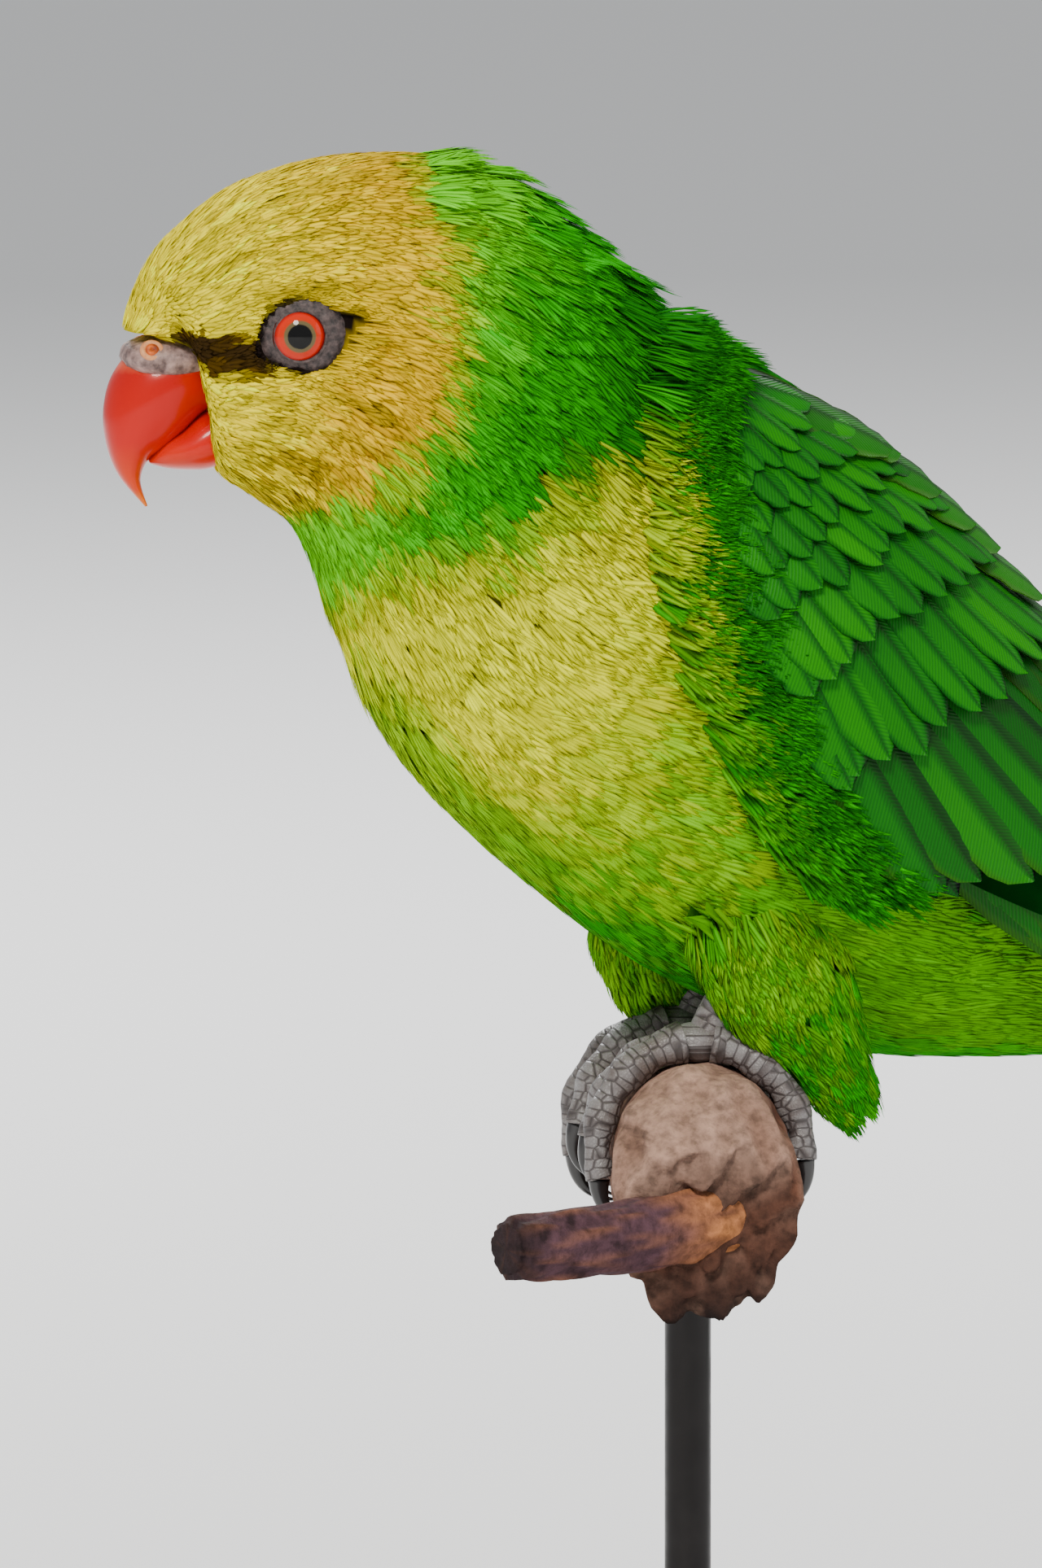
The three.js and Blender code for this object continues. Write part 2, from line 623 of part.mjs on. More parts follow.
function toeSolid(side, toe) {
  const path = [];
  for (let i = 0; i <= 5; i += 1) {
    const s = i / 5;
    const radius = perchRadius + mix(...toeThick, s) - 0.1;
    path.push(roundPerch(toe.ahead * mix(toeStart, toe.sweep, s), radius, toeY(side, toe, s)));
  }
  const pads = (s) => mix(...toeThick, s) + toePad * Math.cos(s * 6 * Math.PI);
  return tube(path, pads, { steps: 6, sides: 7 });
}

function clawSolid(side, toe) {
  const path = [];
  const start = toe.sweep + 2.6;
  for (let i = 0; i <= 4; i += 1) {
    const s = i / 4;
    const radius = perchRadius + 0.45 + mix(claw.root, claw.tip, s) + claw.lift * Math.sin(Math.PI * s);
    path.push(roundPerch(toe.ahead * (start + claw.sweep * s), radius, toeY(side, toe, 1)));
  }
  return tube(path, (s) => mix(claw.root, claw.tip, s ** 0.9), { steps: 5, sides: 6 });
}

const shank = { top: [7, 23], middle: [4, 18], bottom: [0.5, 12.4], radius: 1.9, ankle: 2.4 };
const palm = { radius: 3.1, long: 1.25, flat: 0.75, over: 1.9 };
const thigh = {
  top: [1, 30], knee: [6, 17], bottom: [15.2, 2.4], radii: [11, 8.5, 2.6], out: 3.2, flat: 0.72,
};

function footSolid(side) {
  const y = footY(side);
  const pad = new THREE.SphereGeometry(palm.radius, 12, 8);
  pad.scale(palm.long, 1, palm.flat);
  pad.translate(0, y, perchRadius + palm.over).rotateZ(perchSwing * degrees);
  const leg = tube(
    [shank.bottom, shank.middle, shank.top].map(([x, z]) => swung([x, y, z])),
    (s) => mix(shank.radius, shank.ankle, s), { steps: 4, sides: 8 },
  );
  return joined([solid(pad), leg, ...toes.map((toe) => toeSolid(side, toe))]);
}

function thighSolid(side, grow = 0) {
  const y = footY(side) + side * thigh.out;
  const path = [
    [thigh.top[0], y - side * 2, thigh.top[1]],
    [thigh.knee[0], y, thigh.knee[1]],
    [thigh.bottom[0], y, thigh.bottom[1]],
  ];
  const [wide, mid, thin] = thigh.radii;
  const radiusAt = (s) => (s < 0.5 ? mix(wide, mid, s * 2) : mix(mid, thin, s * 2 - 1));
  return tube(path, radiusAt, { steps: 5, sides: 12, grow, squash: thigh.flat });
}

const makeThigh = (side) => thighSolid(side).subtract(joined([torsoLoft(GAP), perchSolid(GAP)]));

function makeFoot(side) {
  const claws = toes.map((toe) => clawSolid(side, toe));
  const around = [torsoLoft(GAP), perchSolid(GAP), thighSolid(side, GAP)];
  return footSolid(side).subtract(joined(around)).subtract(joined(claws));
}

// The display stand: a round base and one rod up to the perch
function makeRod() {
  const tall = perchHeight - base.thick - GAP;
  const bar = new THREE.CylinderGeometry(rod.radius, rod.radius, tall, rod.sides);
  bar.rotateX(Math.PI / 2);
  bar.translate(0, 0, base.thick + GAP + tall / 2 - perchHeight);
  return solid(bar).subtract(perchSolid(GAP));
}

function baseGeometry() {
  const { radius, thick, chamfer } = base;
  const profile = [[0, 0], [radius, 0], [radius, thick - chamfer], [radius - chamfer, thick], [0, thick]];
  const turnedPlate = new THREE.LatheGeometry(
    profile.map(([r, y]) => new THREE.Vector2(r, y)),
    base.sides,
  );
  turnedPlate.rotateX(Math.PI / 2);
  return toGeometry(solid(turnedPlate));
}

// Colours and finishes
const finishes = {
  yellow: { color: 0xd8b400, roughness: 0.85 },
  green: { color: 0x2f9a12, roughness: 0.85 },
  lime: { color: 0xa8c800, roughness: 0.85 },
  wingGreen: { color: 0x0b6e14, roughness: 0.6 },
  bill: { color: 0xe0210a, roughness: 0.25 },
  cere: { color: 0x8b7370, roughness: 0.6 },
  eye: { color: 0x120a08, roughness: 0.05 },
  scale: { color: 0x77777a, roughness: 0.6 },
  claw: { color: 0x1c1a1b, roughness: 0.35 },
  bark: { color: 0x7d6558, roughness: 0.9 },
  stand: { color: 0x2b2622, roughness: 0.4 },
};

function named(name, geometry, finish) {
  const mesh = new THREE.Mesh(geometry, new THREE.MeshStandardMaterial(finishes[finish]));
  mesh.name = name;
  return mesh;
}

const bird = new THREE.Group();
const put = (name, shape, finish) => bird.add(named(name, toGeometry(shape), finish));
put("head", makeHead(), "yellow");
put("neck", makeNeck(), "green");
put("torso", makeTorso(), "lime");
put("tail", makeTail(), "wingGreen");
put("cere", makeCere(), "cere");
put("bill_upper", upperLoft(), "bill");
put("bill_lower", lowerLoft().subtract(upperLoft(GAP)), "bill");
for (const [name, side] of Object.entries(sides)) {
  put(`eye_${name}`, eyeBall(side), "eye");
  put(`wing_${name}`, makeWing(side), "wingGreen");
  put(`thigh_${name}`, makeThigh(side), "green");
  put(`foot_${name}`, makeFoot(side), "scale");
  for (const toe of toes) put(`claw_${name}_${toe.name}`, clawSolid(side, toe), "claw");
}
put("perch", makePerch(), "bark");
put("stand_rod", makeRod(), "stand");
bird.position.set(...perchAt);

const model = new THREE.Group();
model.add(bird, named("stand_base", baseGeometry(), "stand"));

export default model;
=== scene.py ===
import math
import bpy
import numpy as np
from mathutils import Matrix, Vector


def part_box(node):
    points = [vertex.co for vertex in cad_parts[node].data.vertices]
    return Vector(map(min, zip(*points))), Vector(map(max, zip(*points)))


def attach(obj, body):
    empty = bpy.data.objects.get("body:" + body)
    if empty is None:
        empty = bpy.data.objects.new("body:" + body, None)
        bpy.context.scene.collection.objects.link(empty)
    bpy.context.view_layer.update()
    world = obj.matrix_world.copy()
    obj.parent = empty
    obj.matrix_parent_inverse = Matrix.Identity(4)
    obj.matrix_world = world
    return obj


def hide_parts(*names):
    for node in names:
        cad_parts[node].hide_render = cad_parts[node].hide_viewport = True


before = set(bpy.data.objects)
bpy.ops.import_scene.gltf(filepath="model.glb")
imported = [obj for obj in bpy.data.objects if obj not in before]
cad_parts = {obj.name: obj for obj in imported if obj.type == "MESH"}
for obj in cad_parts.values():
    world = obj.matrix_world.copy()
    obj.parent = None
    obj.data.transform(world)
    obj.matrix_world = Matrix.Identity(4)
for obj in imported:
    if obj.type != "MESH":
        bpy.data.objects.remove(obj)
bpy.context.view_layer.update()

MM = 0.001
PERCH_AT = np.array([-10.0, 0.0, 76.0])
SIDES = {"left": -1, "right": 1}
rng = np.random.default_rng(41)

# Driving sizes of the bird, as in the solids
HEAD_TURN = 18.0
NECK_PIVOT = -22.6
EYE = np.array([-47.0, 0.0, 92.0])
EYE_OUT = 11.2
EYE_RADIUS = 4.0
EYE_FORWARD = 4.0  # degrees that the ball looks forward
RING_OUT = 13.72
RING_FORWARD = 8.7  # degrees that its lids do
PERCH_RADIUS = 10.0
PERCH_SWING = -20.0
BODY = np.array([  # back x and z, front x and z, half width, turn
    [-65.6, 93.7, -60.6, 92.4, 3.4, 18],
    [-63.5, 97.7, -55.9, 86.5, 7.2, 18],
    [-59.7, 102.9, -55.3, 76.9, 10.8, 18],
    [-52.3, 108.2, -51.6, 73.6, 13.6, 18],
    [-42.5, 111.0, -47.0, 70.4, 14.8, 18],
    [-32.4, 111.3, -44.7, 66.6, 15.6, 16.5],
    [-22.8, 109.0, -43.1, 61.8, 17.2, 13],
    [-13.6, 102.2, -40.6, 55.3, 19.6, 8.5],
    [-4.7, 94.3, -36.9, 47.3, 22.6, 4],
    [6.1, 87.9, -30.3, 39.2, 25.0, 1],
    [17.1, 81.1, -20.6, 30.6, 26.0, 0],
    [26.8, 73.4, -8.2, 21.5, 25.6, 0],
    [35.6, 63.4, 5.1, 14.7, 24.0, 0],
    [44.4, 53.8, 19.8, 9.2, 20.6, 0],
    [53.3, 42.9, 35.6, 7.9, 16.0, 0],
    [61.2, 32.0, 49.8, 7.4, 11.4, 0],
    [68.4, 22.5, 61.1, 5.2, 8.2, 0],
])
BODY_END = len(BODY) - 1.0
BROW_DROP = 1.7  # the forehead's feathers come down to the cere
BROW_WIDEN = 0.8
BODY[0, [1, 3]] -= BROW_DROP
BODY[0, 4] += BROW_WIDEN


def catmull(table, t):
    """Smooth rows of a table at the row numbers t."""
    t = np.asarray(t, float)
    last = len(table) - 1
    i = np.clip(np.floor(t).astype(int), 0, last - 1)
    s = (t - i)[..., None]
    p0, p1, p2, p3 = (table[np.clip(i + k, 0, last)] for k in (-1, 0, 1, 2))
    return 0.5 * (2 * p1 + (p2 - p0) * s + (2 * p0 - 5 * p1 + 4 * p2 - p3) * s**2
                  + (3 * p1 - p0 - 3 * p2 + p3) * s**3)


def curve_at(rows, x):
    """A value at x from [x, value] pairs, straight between them."""
    rows = np.asarray(rows, float)
    return np.interp(x, rows[:, 0], rows[:, 1])


def clamp(x):
    return np.clip(x, 0, 1)


def smooth(low, high, x):
    s = clamp((np.asarray(x, float) - low) / (high - low))
    return s * s * (3 - 2 * s)


def blend(a, b, s):
    return a + (b - a) * np.asarray(s)[..., None]


def turned(p, turn=HEAD_TURN):
    """The head's turn about the upright line through the neck."""
    angle = -np.radians(turn)
    dx = p[..., 0] - NECK_PIVOT
    x = NECK_PIVOT + dx * np.cos(angle) - p[..., 1] * np.sin(angle)
    return np.stack([x, dx * np.sin(angle) + p[..., 1] * np.cos(angle), p[..., 2]], -1)


def swung(p):
    angle = np.radians(PERCH_SWING)
    x = p[..., 0] * np.cos(angle) - p[..., 1] * np.sin(angle)
    return np.stack([x, p[..., 0] * np.sin(angle) + p[..., 1] * np.cos(angle), p[..., 2]], -1)


def unit(v):
    return v / np.maximum(np.linalg.norm(v, axis=-1, keepdims=True), 1e-9)


def full_turn(sides):
    return np.linspace(0, 2 * math.pi, sides, endpoint=False)


def map_grid(low, high, rings, sides):
    """Rows from low to high and angles all round, as two grids."""
    return np.meshgrid(np.linspace(low, high, rings), full_turn(sides), indexing="ij")


def ring_point(table, t, a, turn=None):
    """A point on a loft through side-view rows, at row t and angle a from its back."""
    row = catmull(table, t)
    middle = (row[..., 0:2] + row[..., 2:4]) / 2
    chord = (row[..., 0:2] - row[..., 2:4]) / 2
    xz = middle + chord * np.cos(a)[..., None]
    flat = np.stack([xz[..., 0], -row[..., 4] * np.sin(a), xz[..., 1]], -1)
    return turned(flat, row[..., 5] if turn is None else turn)


def surface(point, t, a):
    """The place, both slopes and outward normal of a mapped surface."""
    step = 1e-3
    p = point(t, a)
    along = (point(t + step, a) - point(t - step, a)) / (2 * step)
    around = (point(t, a + step) - point(t, a - step)) / (2 * step)
    return p, along, around, unit(np.cross(around, along))


def body_point(t, a):
    return ring_point(BODY, np.clip(t, 0, BODY_END), a)


# Meshes, materials and pieces

def new_object(name, vertices, faces):
    """A mesh object from millimetre points in the bird's frame."""
    vertices = np.asarray(vertices, float).reshape(-1, 3) + PERCH_AT
    mesh = bpy.data.meshes.new(name)
    faces = np.asarray(faces, np.int32)
    sides = faces.shape[1]
    mesh.vertices.add(len(vertices))
    mesh.vertices.foreach_set("co", (vertices * MM).astype(np.float32).ravel())
    mesh.loops.add(faces.size)
    mesh.loops.foreach_set("vertex_index", faces.ravel())
    mesh.polygons.add(len(faces))
    mesh.polygons.foreach_set("loop_start", np.arange(0, faces.size, sides, dtype=np.int32))
    mesh.update(calc_edges=True)
    mesh.polygons.foreach_set("use_smooth", np.ones(len(faces), bool))
    obj = bpy.data.objects.new(name, mesh)
    bpy.context.scene.collection.objects.link(obj)
    return obj


def add_uv(obj, name, uv):
    """A UV map from one pair for each vertex."""
    mesh = obj.data
    index = np.empty(len(mesh.loops), np.int32)
    mesh.loops.foreach_get("vertex_index", index)
    layer = mesh.uv_layers.new(name=name)
    layer.data.foreach_set("uv", uv.reshape(-1, 2)[index].astype(np.float32).ravel())


def add_tint(obj, colours):
    """The colour of each vertex, worked out by formula, or one colour for all."""
    layer = obj.data.color_attributes.new("Tint", "FLOAT_COLOR", "POINT")
    rgba = np.ones((len(obj.data.vertices), 4), np.float32)
    rgba[:, :3] = colours.reshape(-1, 3)
    layer.data.foreach_set("color", rgba.ravel())


def finish_piece(obj, material, slot, *nodes):
    obj.data.materials.append(material)
    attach(obj, "root")
    if nodes:
        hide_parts(*nodes)
    return obj


def grid_faces(rows, columns, closed=False):
    """Quads of a rows by columns grid, closed across its columns if asked."""
    r, c = np.meshgrid(np.arange(rows - 1), np.arange(columns if closed else columns - 1), indexing="ij")
    d = (c + 1) % columns
    quads = np.stack([r * columns + c, r * columns + d, (r + 1) * columns + d, (r + 1) * columns + c], -1)
    return quads.reshape(-1, 4)


def loft_object(name, points):
    """A closed round piece from rings of points shaped rings, sides, 3, with its ends drawn to a point."""
    first = points[:1].mean(1, keepdims=True).repeat(points.shape[1], 1)
    last = points[-1:].mean(1, keepdims=True).repeat(points.shape[1], 1)
    rings = np.concatenate([first, points, last])
    return new_object(name, rings, grid_faces(rings.shape[0], rings.shape[1], closed=True))


def loft_grid(table, rings, sides, turn=HEAD_TURN):
    """Ring points of a loft through a table of side-view rows."""
    return ring_point(table, *map_grid(0, len(table) - 1, rings, sides), turn)


def capped(rings):
    """A value for each ring, with the first and last given again to a loft's drawn-in ends."""
    return np.concatenate([rings[:1], rings, rings[-1:]])


def material(name, colour, roughness, **sockets):
    made = bpy.data.materials.new(name)
    made.use_nodes = True
    shader = made.node_tree.nodes["Principled BSDF"]
    shader.inputs["Base Color"].default_value = (*colour, 1)
    shader.inputs["Roughness"].default_value = roughness
    for socket, value in sockets.items():
        shader.inputs[socket.replace("_", " ")].default_value = value
    return made


class Nodes:
    """Short calls for building a material's nodes."""

    def __init__(self, made):
        self.tree = made.node_tree
        self.shader = self.tree.nodes["Principled BSDF"]

    def add(self, kind, settings=None, **inputs):
        node = self.tree.nodes.new(kind)
        for key, value in (settings or {}).items():
            setattr(node, key, value)
        for key, value in inputs.items():
            self.feed(node.inputs[key.replace("_", " ")], value)
        return node

    def feed(self, socket, value):
        if isinstance(value, bpy.types.NodeSocket):
            self.tree.links.new(value, socket)
        else:
            socket.default_value = value

    def math(self, operation, *values):
        node = self.add("ShaderNodeMath", {"operation": operation})
        for socket, value in zip(node.inputs, values):
            self.feed(socket, value)
        return node.outputs[0]

    def place(self):
        return self.add("ShaderNodeTexCoord").outputs["Object"]

    def noise(self, scale, vector=None, detail=4.0):
        node = self.add("ShaderNodeTexNoise", Scale=scale, Detail=detail, Roughness=0.55)
        self.feed(node.inputs["Vector"], vector or self.place())
        return node.outputs[0]

    def stretched(self, scale, rotation=(0, 0, 0)):
        node = self.add("ShaderNodeMapping", Scale=scale, Rotation=rotation)
        self.feed(node.inputs["Vector"], self.place())
        return node.outputs[0]

    def tint(self):
        return self.add("ShaderNodeAttribute", {"attribute_name": "Tint"}).outputs["Color"]

    def parts(self, vector):
        """The three numbers of a vector."""
        node = self.add("ShaderNodeSeparateXYZ")
        self.feed(node.inputs[0], vector)
        return node.outputs

    def uv(self, name):
        """The numbers of a UV map, across and along."""
        return self.parts(self.add("ShaderNodeUVMap", {"uv_map": name}).outputs[0])[:2]

    def ramp(self, factor, *stops):
        node = self.add("ShaderNodeValToRGB")
        while len(node.color_ramp.elements) < len(stops):
            node.color_ramp.elements.new(0.5)
        for element, (position, colour) in zip(node.color_ramp.elements, stops):
            element.position = position
            element.color = (*colour, 1)
        self.feed(node.inputs[0], factor)
        return node.outputs[0]

    def times(self, a, b):
        """One colour multiplied by another."""
        node = self.add("ShaderNodeMix", {"data_type": "RGBA", "blend_type": "MULTIPLY"})
        for socket, value in zip((node.inputs[0], node.inputs[6], node.inputs[7]), (1.0, a, b)):
            self.feed(socket, value)
        return node.outputs[2]

    def colour(self, value):
        self.feed(self.shader.inputs["Base Color"], value)

    def roughness(self, value):
        self.feed(self.shader.inputs["Roughness"], value)

    def bump(self, height, strength, distance):
        node = self.add("ShaderNodeBump", Strength=strength, Distance=distance, Height=height)
        self.feed(self.shader.inputs["Normal"], node.outputs[0])


def grey(value):
    return (value, value, value)


def plumage_material():
    """Soft feathers: the plumage colour of each vertex, with its painted shade and light, hardly glossy, with
    a fine mottle.
    """
    made = material("plumage", (0.3, 0.4, 0.02), 0.85, Specular_IOR_Level=0.02)
    n = Nodes(made)
    mottle = n.ramp(n.noise(420.0), (0.3, grey(0.86)), (0.7, grey(1.1)))
    n.colour(n.times(n.tint(), mottle))
    return made


def vane_material():
    """Firm wing and tail feathers: the plumage colour with fine barbs slanting from the shaft."""
    made = material("vanes", (0.03, 0.25, 0.02), 0.5, Specular_IOR_Level=0.14)
    n = Nodes(made)
    across, along = n.uv("Barbs")
    run = n.math("SUBTRACT", along, n.math("MULTIPLY", n.math("ABSOLUTE", across), 1.1))
    wobble = n.math("MULTIPLY", n.noise(350.0), 0.5)
    line = n.math("SINE", n.math("ADD", n.math("MULTIPLY", run, 11.5), n.math("MULTIPLY", wobble, 6.0)))
    share = n.math("MULTIPLY_ADD", line, 0.5, 0.5)
    mottle = n.ramp(share, (0.0, grey(0.8)), (1.0, grey(1.12)))
    n.colour(n.times(n.tint(), mottle))
    n.bump(share, 0.35, 0.00012)
    return made


PLUMAGE = plumage_material()
VANES = vane_material()


# Plumage colours, as linear red, green and blue

def linear(red, green, blue):
    """A colour seen as 0 to 255 values, in linear light."""
    c = np.array([red, green, blue]) / 255
    return np.where(c <= 0.04045, c / 12.92, ((c + 0.055) / 1.055) ** 2.4)


LEMON = linear(230, 214, 0)
GOLD = linear(218, 180, 0)
OCHRE = linear(178, 128, 0)
BISTRE = linear(78, 56, 4)
SOOT = linear(26, 19, 17)
LIME = linear(96, 190, 0)
GRASS = linear(26, 156, 0)
EMERALD = linear(0, 96, 2)
DEEP = linear(0, 46, 6)
BREAST = linear(218, 220, 0)
BELLY = linear(142, 190, 0)
INK = linear(3, 9, 11)
STREAK_WAVES = [(rng.uniform(-3, 3), int(rng.integers(7, 42)), rng.uniform(0, 6.28)) for _ in range(8)]


def streaks(t, a):
    """Uneven light and dark streaks that run along the plumage, about -1 to 1."""
    return sum(np.sin(along * t + around * a + phase) for along, around, phase in STREAK_WAVES) / 2.6


def wrap(angle):
    return (angle + math.pi) % (2 * math.pi) - math.pi


def eye_polar(p):
    """Distance and angle, up from the rear, of a point from the nearer eye's middle in side view.

    The steps back and up follow, and the distance out from the head's middle.
    """
    flat = turned(p, -HEAD_TURN)
    dx, dz = flat[..., 0] - EYE[0], flat[..., 2] - EYE[2]
    return np.hypot(dx, dz), np.arctan2(dz, dx), dx, dz, np.abs(flat[..., 1])


def bare_edge(angle):
    """Radius of the bare skin round the eye, which runs out to a point behind and towards the lores."""
    oval = 1 / np.hypot(np.cos(angle) / 4.5, np.sin(angle) / 3.9)
    rear = 2.3 * np.exp(-((wrap(angle - 0.34) / 0.24) ** 2))
    front = 0.8 * np.exp(-((wrap(angle + 2.75) / 0.3) ** 2))
    return oval + rear + front


# Marks of the face, in steps up and back from the eye's middle
LORES_UP, LORES_BACK, LORES_SLOPE = -2.2, -6.8, 0.12
BROW_UP = 4.9


def face_marks(p, colour, jitter):
    """The dark skin at the eye, the line through the lores and the dusky chin."""
    far, angle, dx, dz, out = eye_polar(p)
    ring = smooth(1.22, 1.0, far / bare_edge(angle))
    lores = np.abs(dz - LORES_UP + LORES_SLOPE * (dx - LORES_BACK))
    reach = smooth(-2.5, -4.0, dx) * smooth(-14.5, -12.5, dx) * smooth(3.5, 6.0, out)
    line = smooth(2.8, 1.7, lores) * reach
    core = smooth(1.9, 0.6, lores) * reach * 0.7
    brow = 0.4 * smooth(1.6, 0.4, np.abs(dz - BROW_UP)) * smooth(-6, -3, dx) * smooth(6, 3, dx)
    chin = 0.55 * smooth(-10.5, -14, dz) * smooth(-23, -20, dz) * smooth(-8, -5, dx) * smooth(5, 2, dx)
    chin = chin * smooth(-0.3, 0.4, jitter)
    colour = blend(colour, BISTRE, np.maximum(np.maximum(brow, chin), line))
    return blend(colour, SOOT, np.maximum(ring, core))


# Where the markings lie, as rows of the cosine of the angle from the back and the body's row
YELLOW_FROM = [[-1, 6.1], [-0.84, 6.25], [-0.36, 7.35], [0.23, 8.0], [0.51, 8.5]]
HEAD_ENDS = [[-0.97, 3.9], [-0.58, 5.65], [-0.14, 6.15], [0.1, 6.0], [0.64, 5.45], [0.95, 5.0]]
# The breast's upper limit on the flank, as the body's row and that cosine
YELLOW_TO = [[8.3, 0.51], [8.9, 0.24], [9.75, 0.05], [10.3, -0.06], [11.5, -0.2], [16, -0.3]]


def body_colour(t, a, jitter):
    """The plumage's colour at row t and angle a of the body, shifted a little by each feather's jitter."""
    c = np.cos(a)
    place = t
    t = t + jitter * 0.22
    head = blend(LEMON, GOLD, smooth(1.8, 5.2, t) * 0.8)
    cheek = smooth(3.4, 5.8, t) * (0.3 + 0.5 * smooth(0.6, -0.2, c))
    crown = smooth(3.0, 5.2, t) * smooth(0.3, 0.95, c) * 0.8
    head = blend(head, OCHRE, clamp(np.maximum(cheek, crown) * 0.72 + jitter * 0.16))
    green = blend(LIME, GRASS, smooth(5.6, 6.9, t))
    green = blend(green, EMERALD, smooth(6.6, 8.0, t) * smooth(-0.4, 0.3, c) * 0.8)
    green = blend(green, GRASS, smooth(11.5, 14.0, t) * 0.7)
    edge = smooth(-0.86, -0.99, c) * smooth(6.6, 8.0, t)
    breast = blend(BREAST, BELLY, clamp(smooth(8.6, 10.2, t) * 0.95 + edge * 0.8 + jitter * 0.1))
    breast = blend(breast, GRASS, clamp(smooth(9.6, 11.4, t + jitter * 0.5) * 0.7 + edge * 0.3))
    past_collar = smooth(-0.4, 0.5, t - curve_at(YELLOW_FROM, c))
    yellow = past_collar * smooth(0.16, -0.16, c - curve_at(YELLOW_TO, t) + jitter * 0.06)
    body = blend(green, breast, yellow)
    colour = blend(head, body, smooth(-0.4, 0.35, t - curve_at(HEAD_ENDS, c)))
    colour = colour * (1 + (0.11 + 0.08 * smooth(6.0, 4.8, place)) * streaks(place, a))[..., None]
    marked = face_marks(body_point(place, a), colour, jitter)
    return blend(colour, marked, (place < 5.5) * 1.0)


# The skin, which lies inside the plumage by the coat's depth

SKIN_SHADE = 0.82


def coat_depth(t):
    return curve_at([[0, 0.4], [3, 0.8], [5, 1.1], [7, 1.5], [10, 1.7], [14, 1.7], [16, 1.1]], t)


def make_skin():
    t, a = map_grid(0, BODY_END, 150, 96)
    p, _, _, normal = surface(body_point, t, a)
    skin = loft_object("skin", p - normal * coat_depth(t)[..., None])
    t, a = capped(t), capped(a)
    add_uv(skin, "OFBake", np.stack([a / (2 * math.pi), t / BODY_END], -1))
    add_tint(skin, body_colour(t, a, np.zeros_like(t)) * SKIN_SHADE)
    return finish_piece(skin, PLUMAGE, "breast_feathers", "head", "neck", "torso")


# Soft plumage: each feather is a fan of slender barbs that lies along the body

BARB_STEPS = np.array([0.0, 0.42, 0.8, 1.0])
BARB_WIDTHS = np.array([1.2, 1.65, 1.45, 0.2])


def fan_vertices(point, root, ahead, across, spec):
    """Barb points of many feathers at once, shaped feathers, barbs, steps, 3 edges, 3.

    root is each feather's place on the point map; ahead and across are the map's steps for a millimetre.
    """
    count = len(root)
    barbs = spec["barbs"]
    lane3 = np.linspace(-1, 1, barbs)[None, :, None]
    s = BARB_STEPS[None, None, :]
    noise = rng.normal(size=(count, barbs, 1))
    length = spec["length"][:, None, None]
    width = spec["width"][:, None, None]
    reach = length * (1 - 0.2 * lane3**2 + 0.06 * noise)
    start = length * 0.22 * (1 - np.abs(lane3))
    forward = start + (reach - start) * s
    opening = width / 2 * lane3 * (0.3 + 0.7 * s**0.8)
    opening = opening + spec["loose"] * 0.05 * length * rng.normal(size=(count, barbs, 1)) * s**2
    barb_width = width / max(barbs - 0.6, 1) * BARB_WIDTHS
    low, high = spec["low"][:, None, None], spec["high"][:, None, None]
    height = low + (high - low) * s**0.85 - spec["arch"] * lane3**2 * s + 0.03 * noise
    side = opening[..., None] + barb_width[..., None] * np.array([-0.5, 0.0, 0.5])
    lift = height[..., None] + spec["ridge"] * np.array([0.0, 1.0, 0.0]) * (1 - s**4)[..., None]
    u = [root[:, k, None, None, None] + forward[..., None] * ahead[:, k, None, None, None]
         + side * across[:, k, None, None, None] for k in (0, 1)]
    p, _, _, normal = surface(point, *u)
    return p + normal * spec["outward"] * lift[..., None], s, lane3, noise


def barb_faces(count):
    """Triangles of closed three-edged barbs of four rings each."""
    rings = len(BARB_STEPS)
    one = []
    for r in range(rings - 1):
        for e in range(3):
            f = (e + 1) % 3
            a, b, c, d = r * 3 + e, r * 3 + f, (r + 1) * 3 + f, (r + 1) * 3 + e
            one += [[a, b, c], [a, c, d]]
    one += [[2, 1, 0], [rings * 3 - 3, rings * 3 - 2, rings * 3 - 1]]
    one = np.array(one)
    return (one[None] + np.arange(count)[:, None, None] * rings * 3).reshape(-1, 3)


PIECE_TRIANGLES = 180000


def coat_pieces(name, points, colours, bake, slot):
    """Splits the barbs of a coat into pieces small enough to keep."""
    barbs = points.reshape(-1, len(BARB_STEPS) * 3, 3)
    colours = colours.reshape(-1, len(BARB_STEPS) * 3, 3)
    bake = bake.reshape(-1, len(BARB_STEPS) * 3, 2)
    per_barb = len(barb_faces(1))
    chunk = PIECE_TRIANGLES // per_barb
    for k, first in enumerate(range(0, len(barbs), chunk)):
        part = slice(first, first + chunk)
        obj = new_object(f"{name}_{k + 1}", barbs[part], barb_faces(len(barbs[part])))
        add_tint(obj, colours[part])
        add_uv(obj, "OFBake", bake[part])
        finish_piece(obj, PLUMAGE, slot)


PATCH = 0.003


def bake_patch(root, shape, s, lane):
    """Each tuft's small patch at its root's place on the unwrapped skin."""
    u = root[:, 1] / (2 * math.pi) % 1.0
    v = clamp(root[:, 0] / BODY_END)
    du = np.broadcast_to((lane * PATCH / 2)[..., None], shape)
    dv = np.broadcast_to(((s - 0.5) * PATCH)[..., None], shape)
    return np.stack([u[:, None, None, None] + du, v[:, None, None, None] + dv], -1)


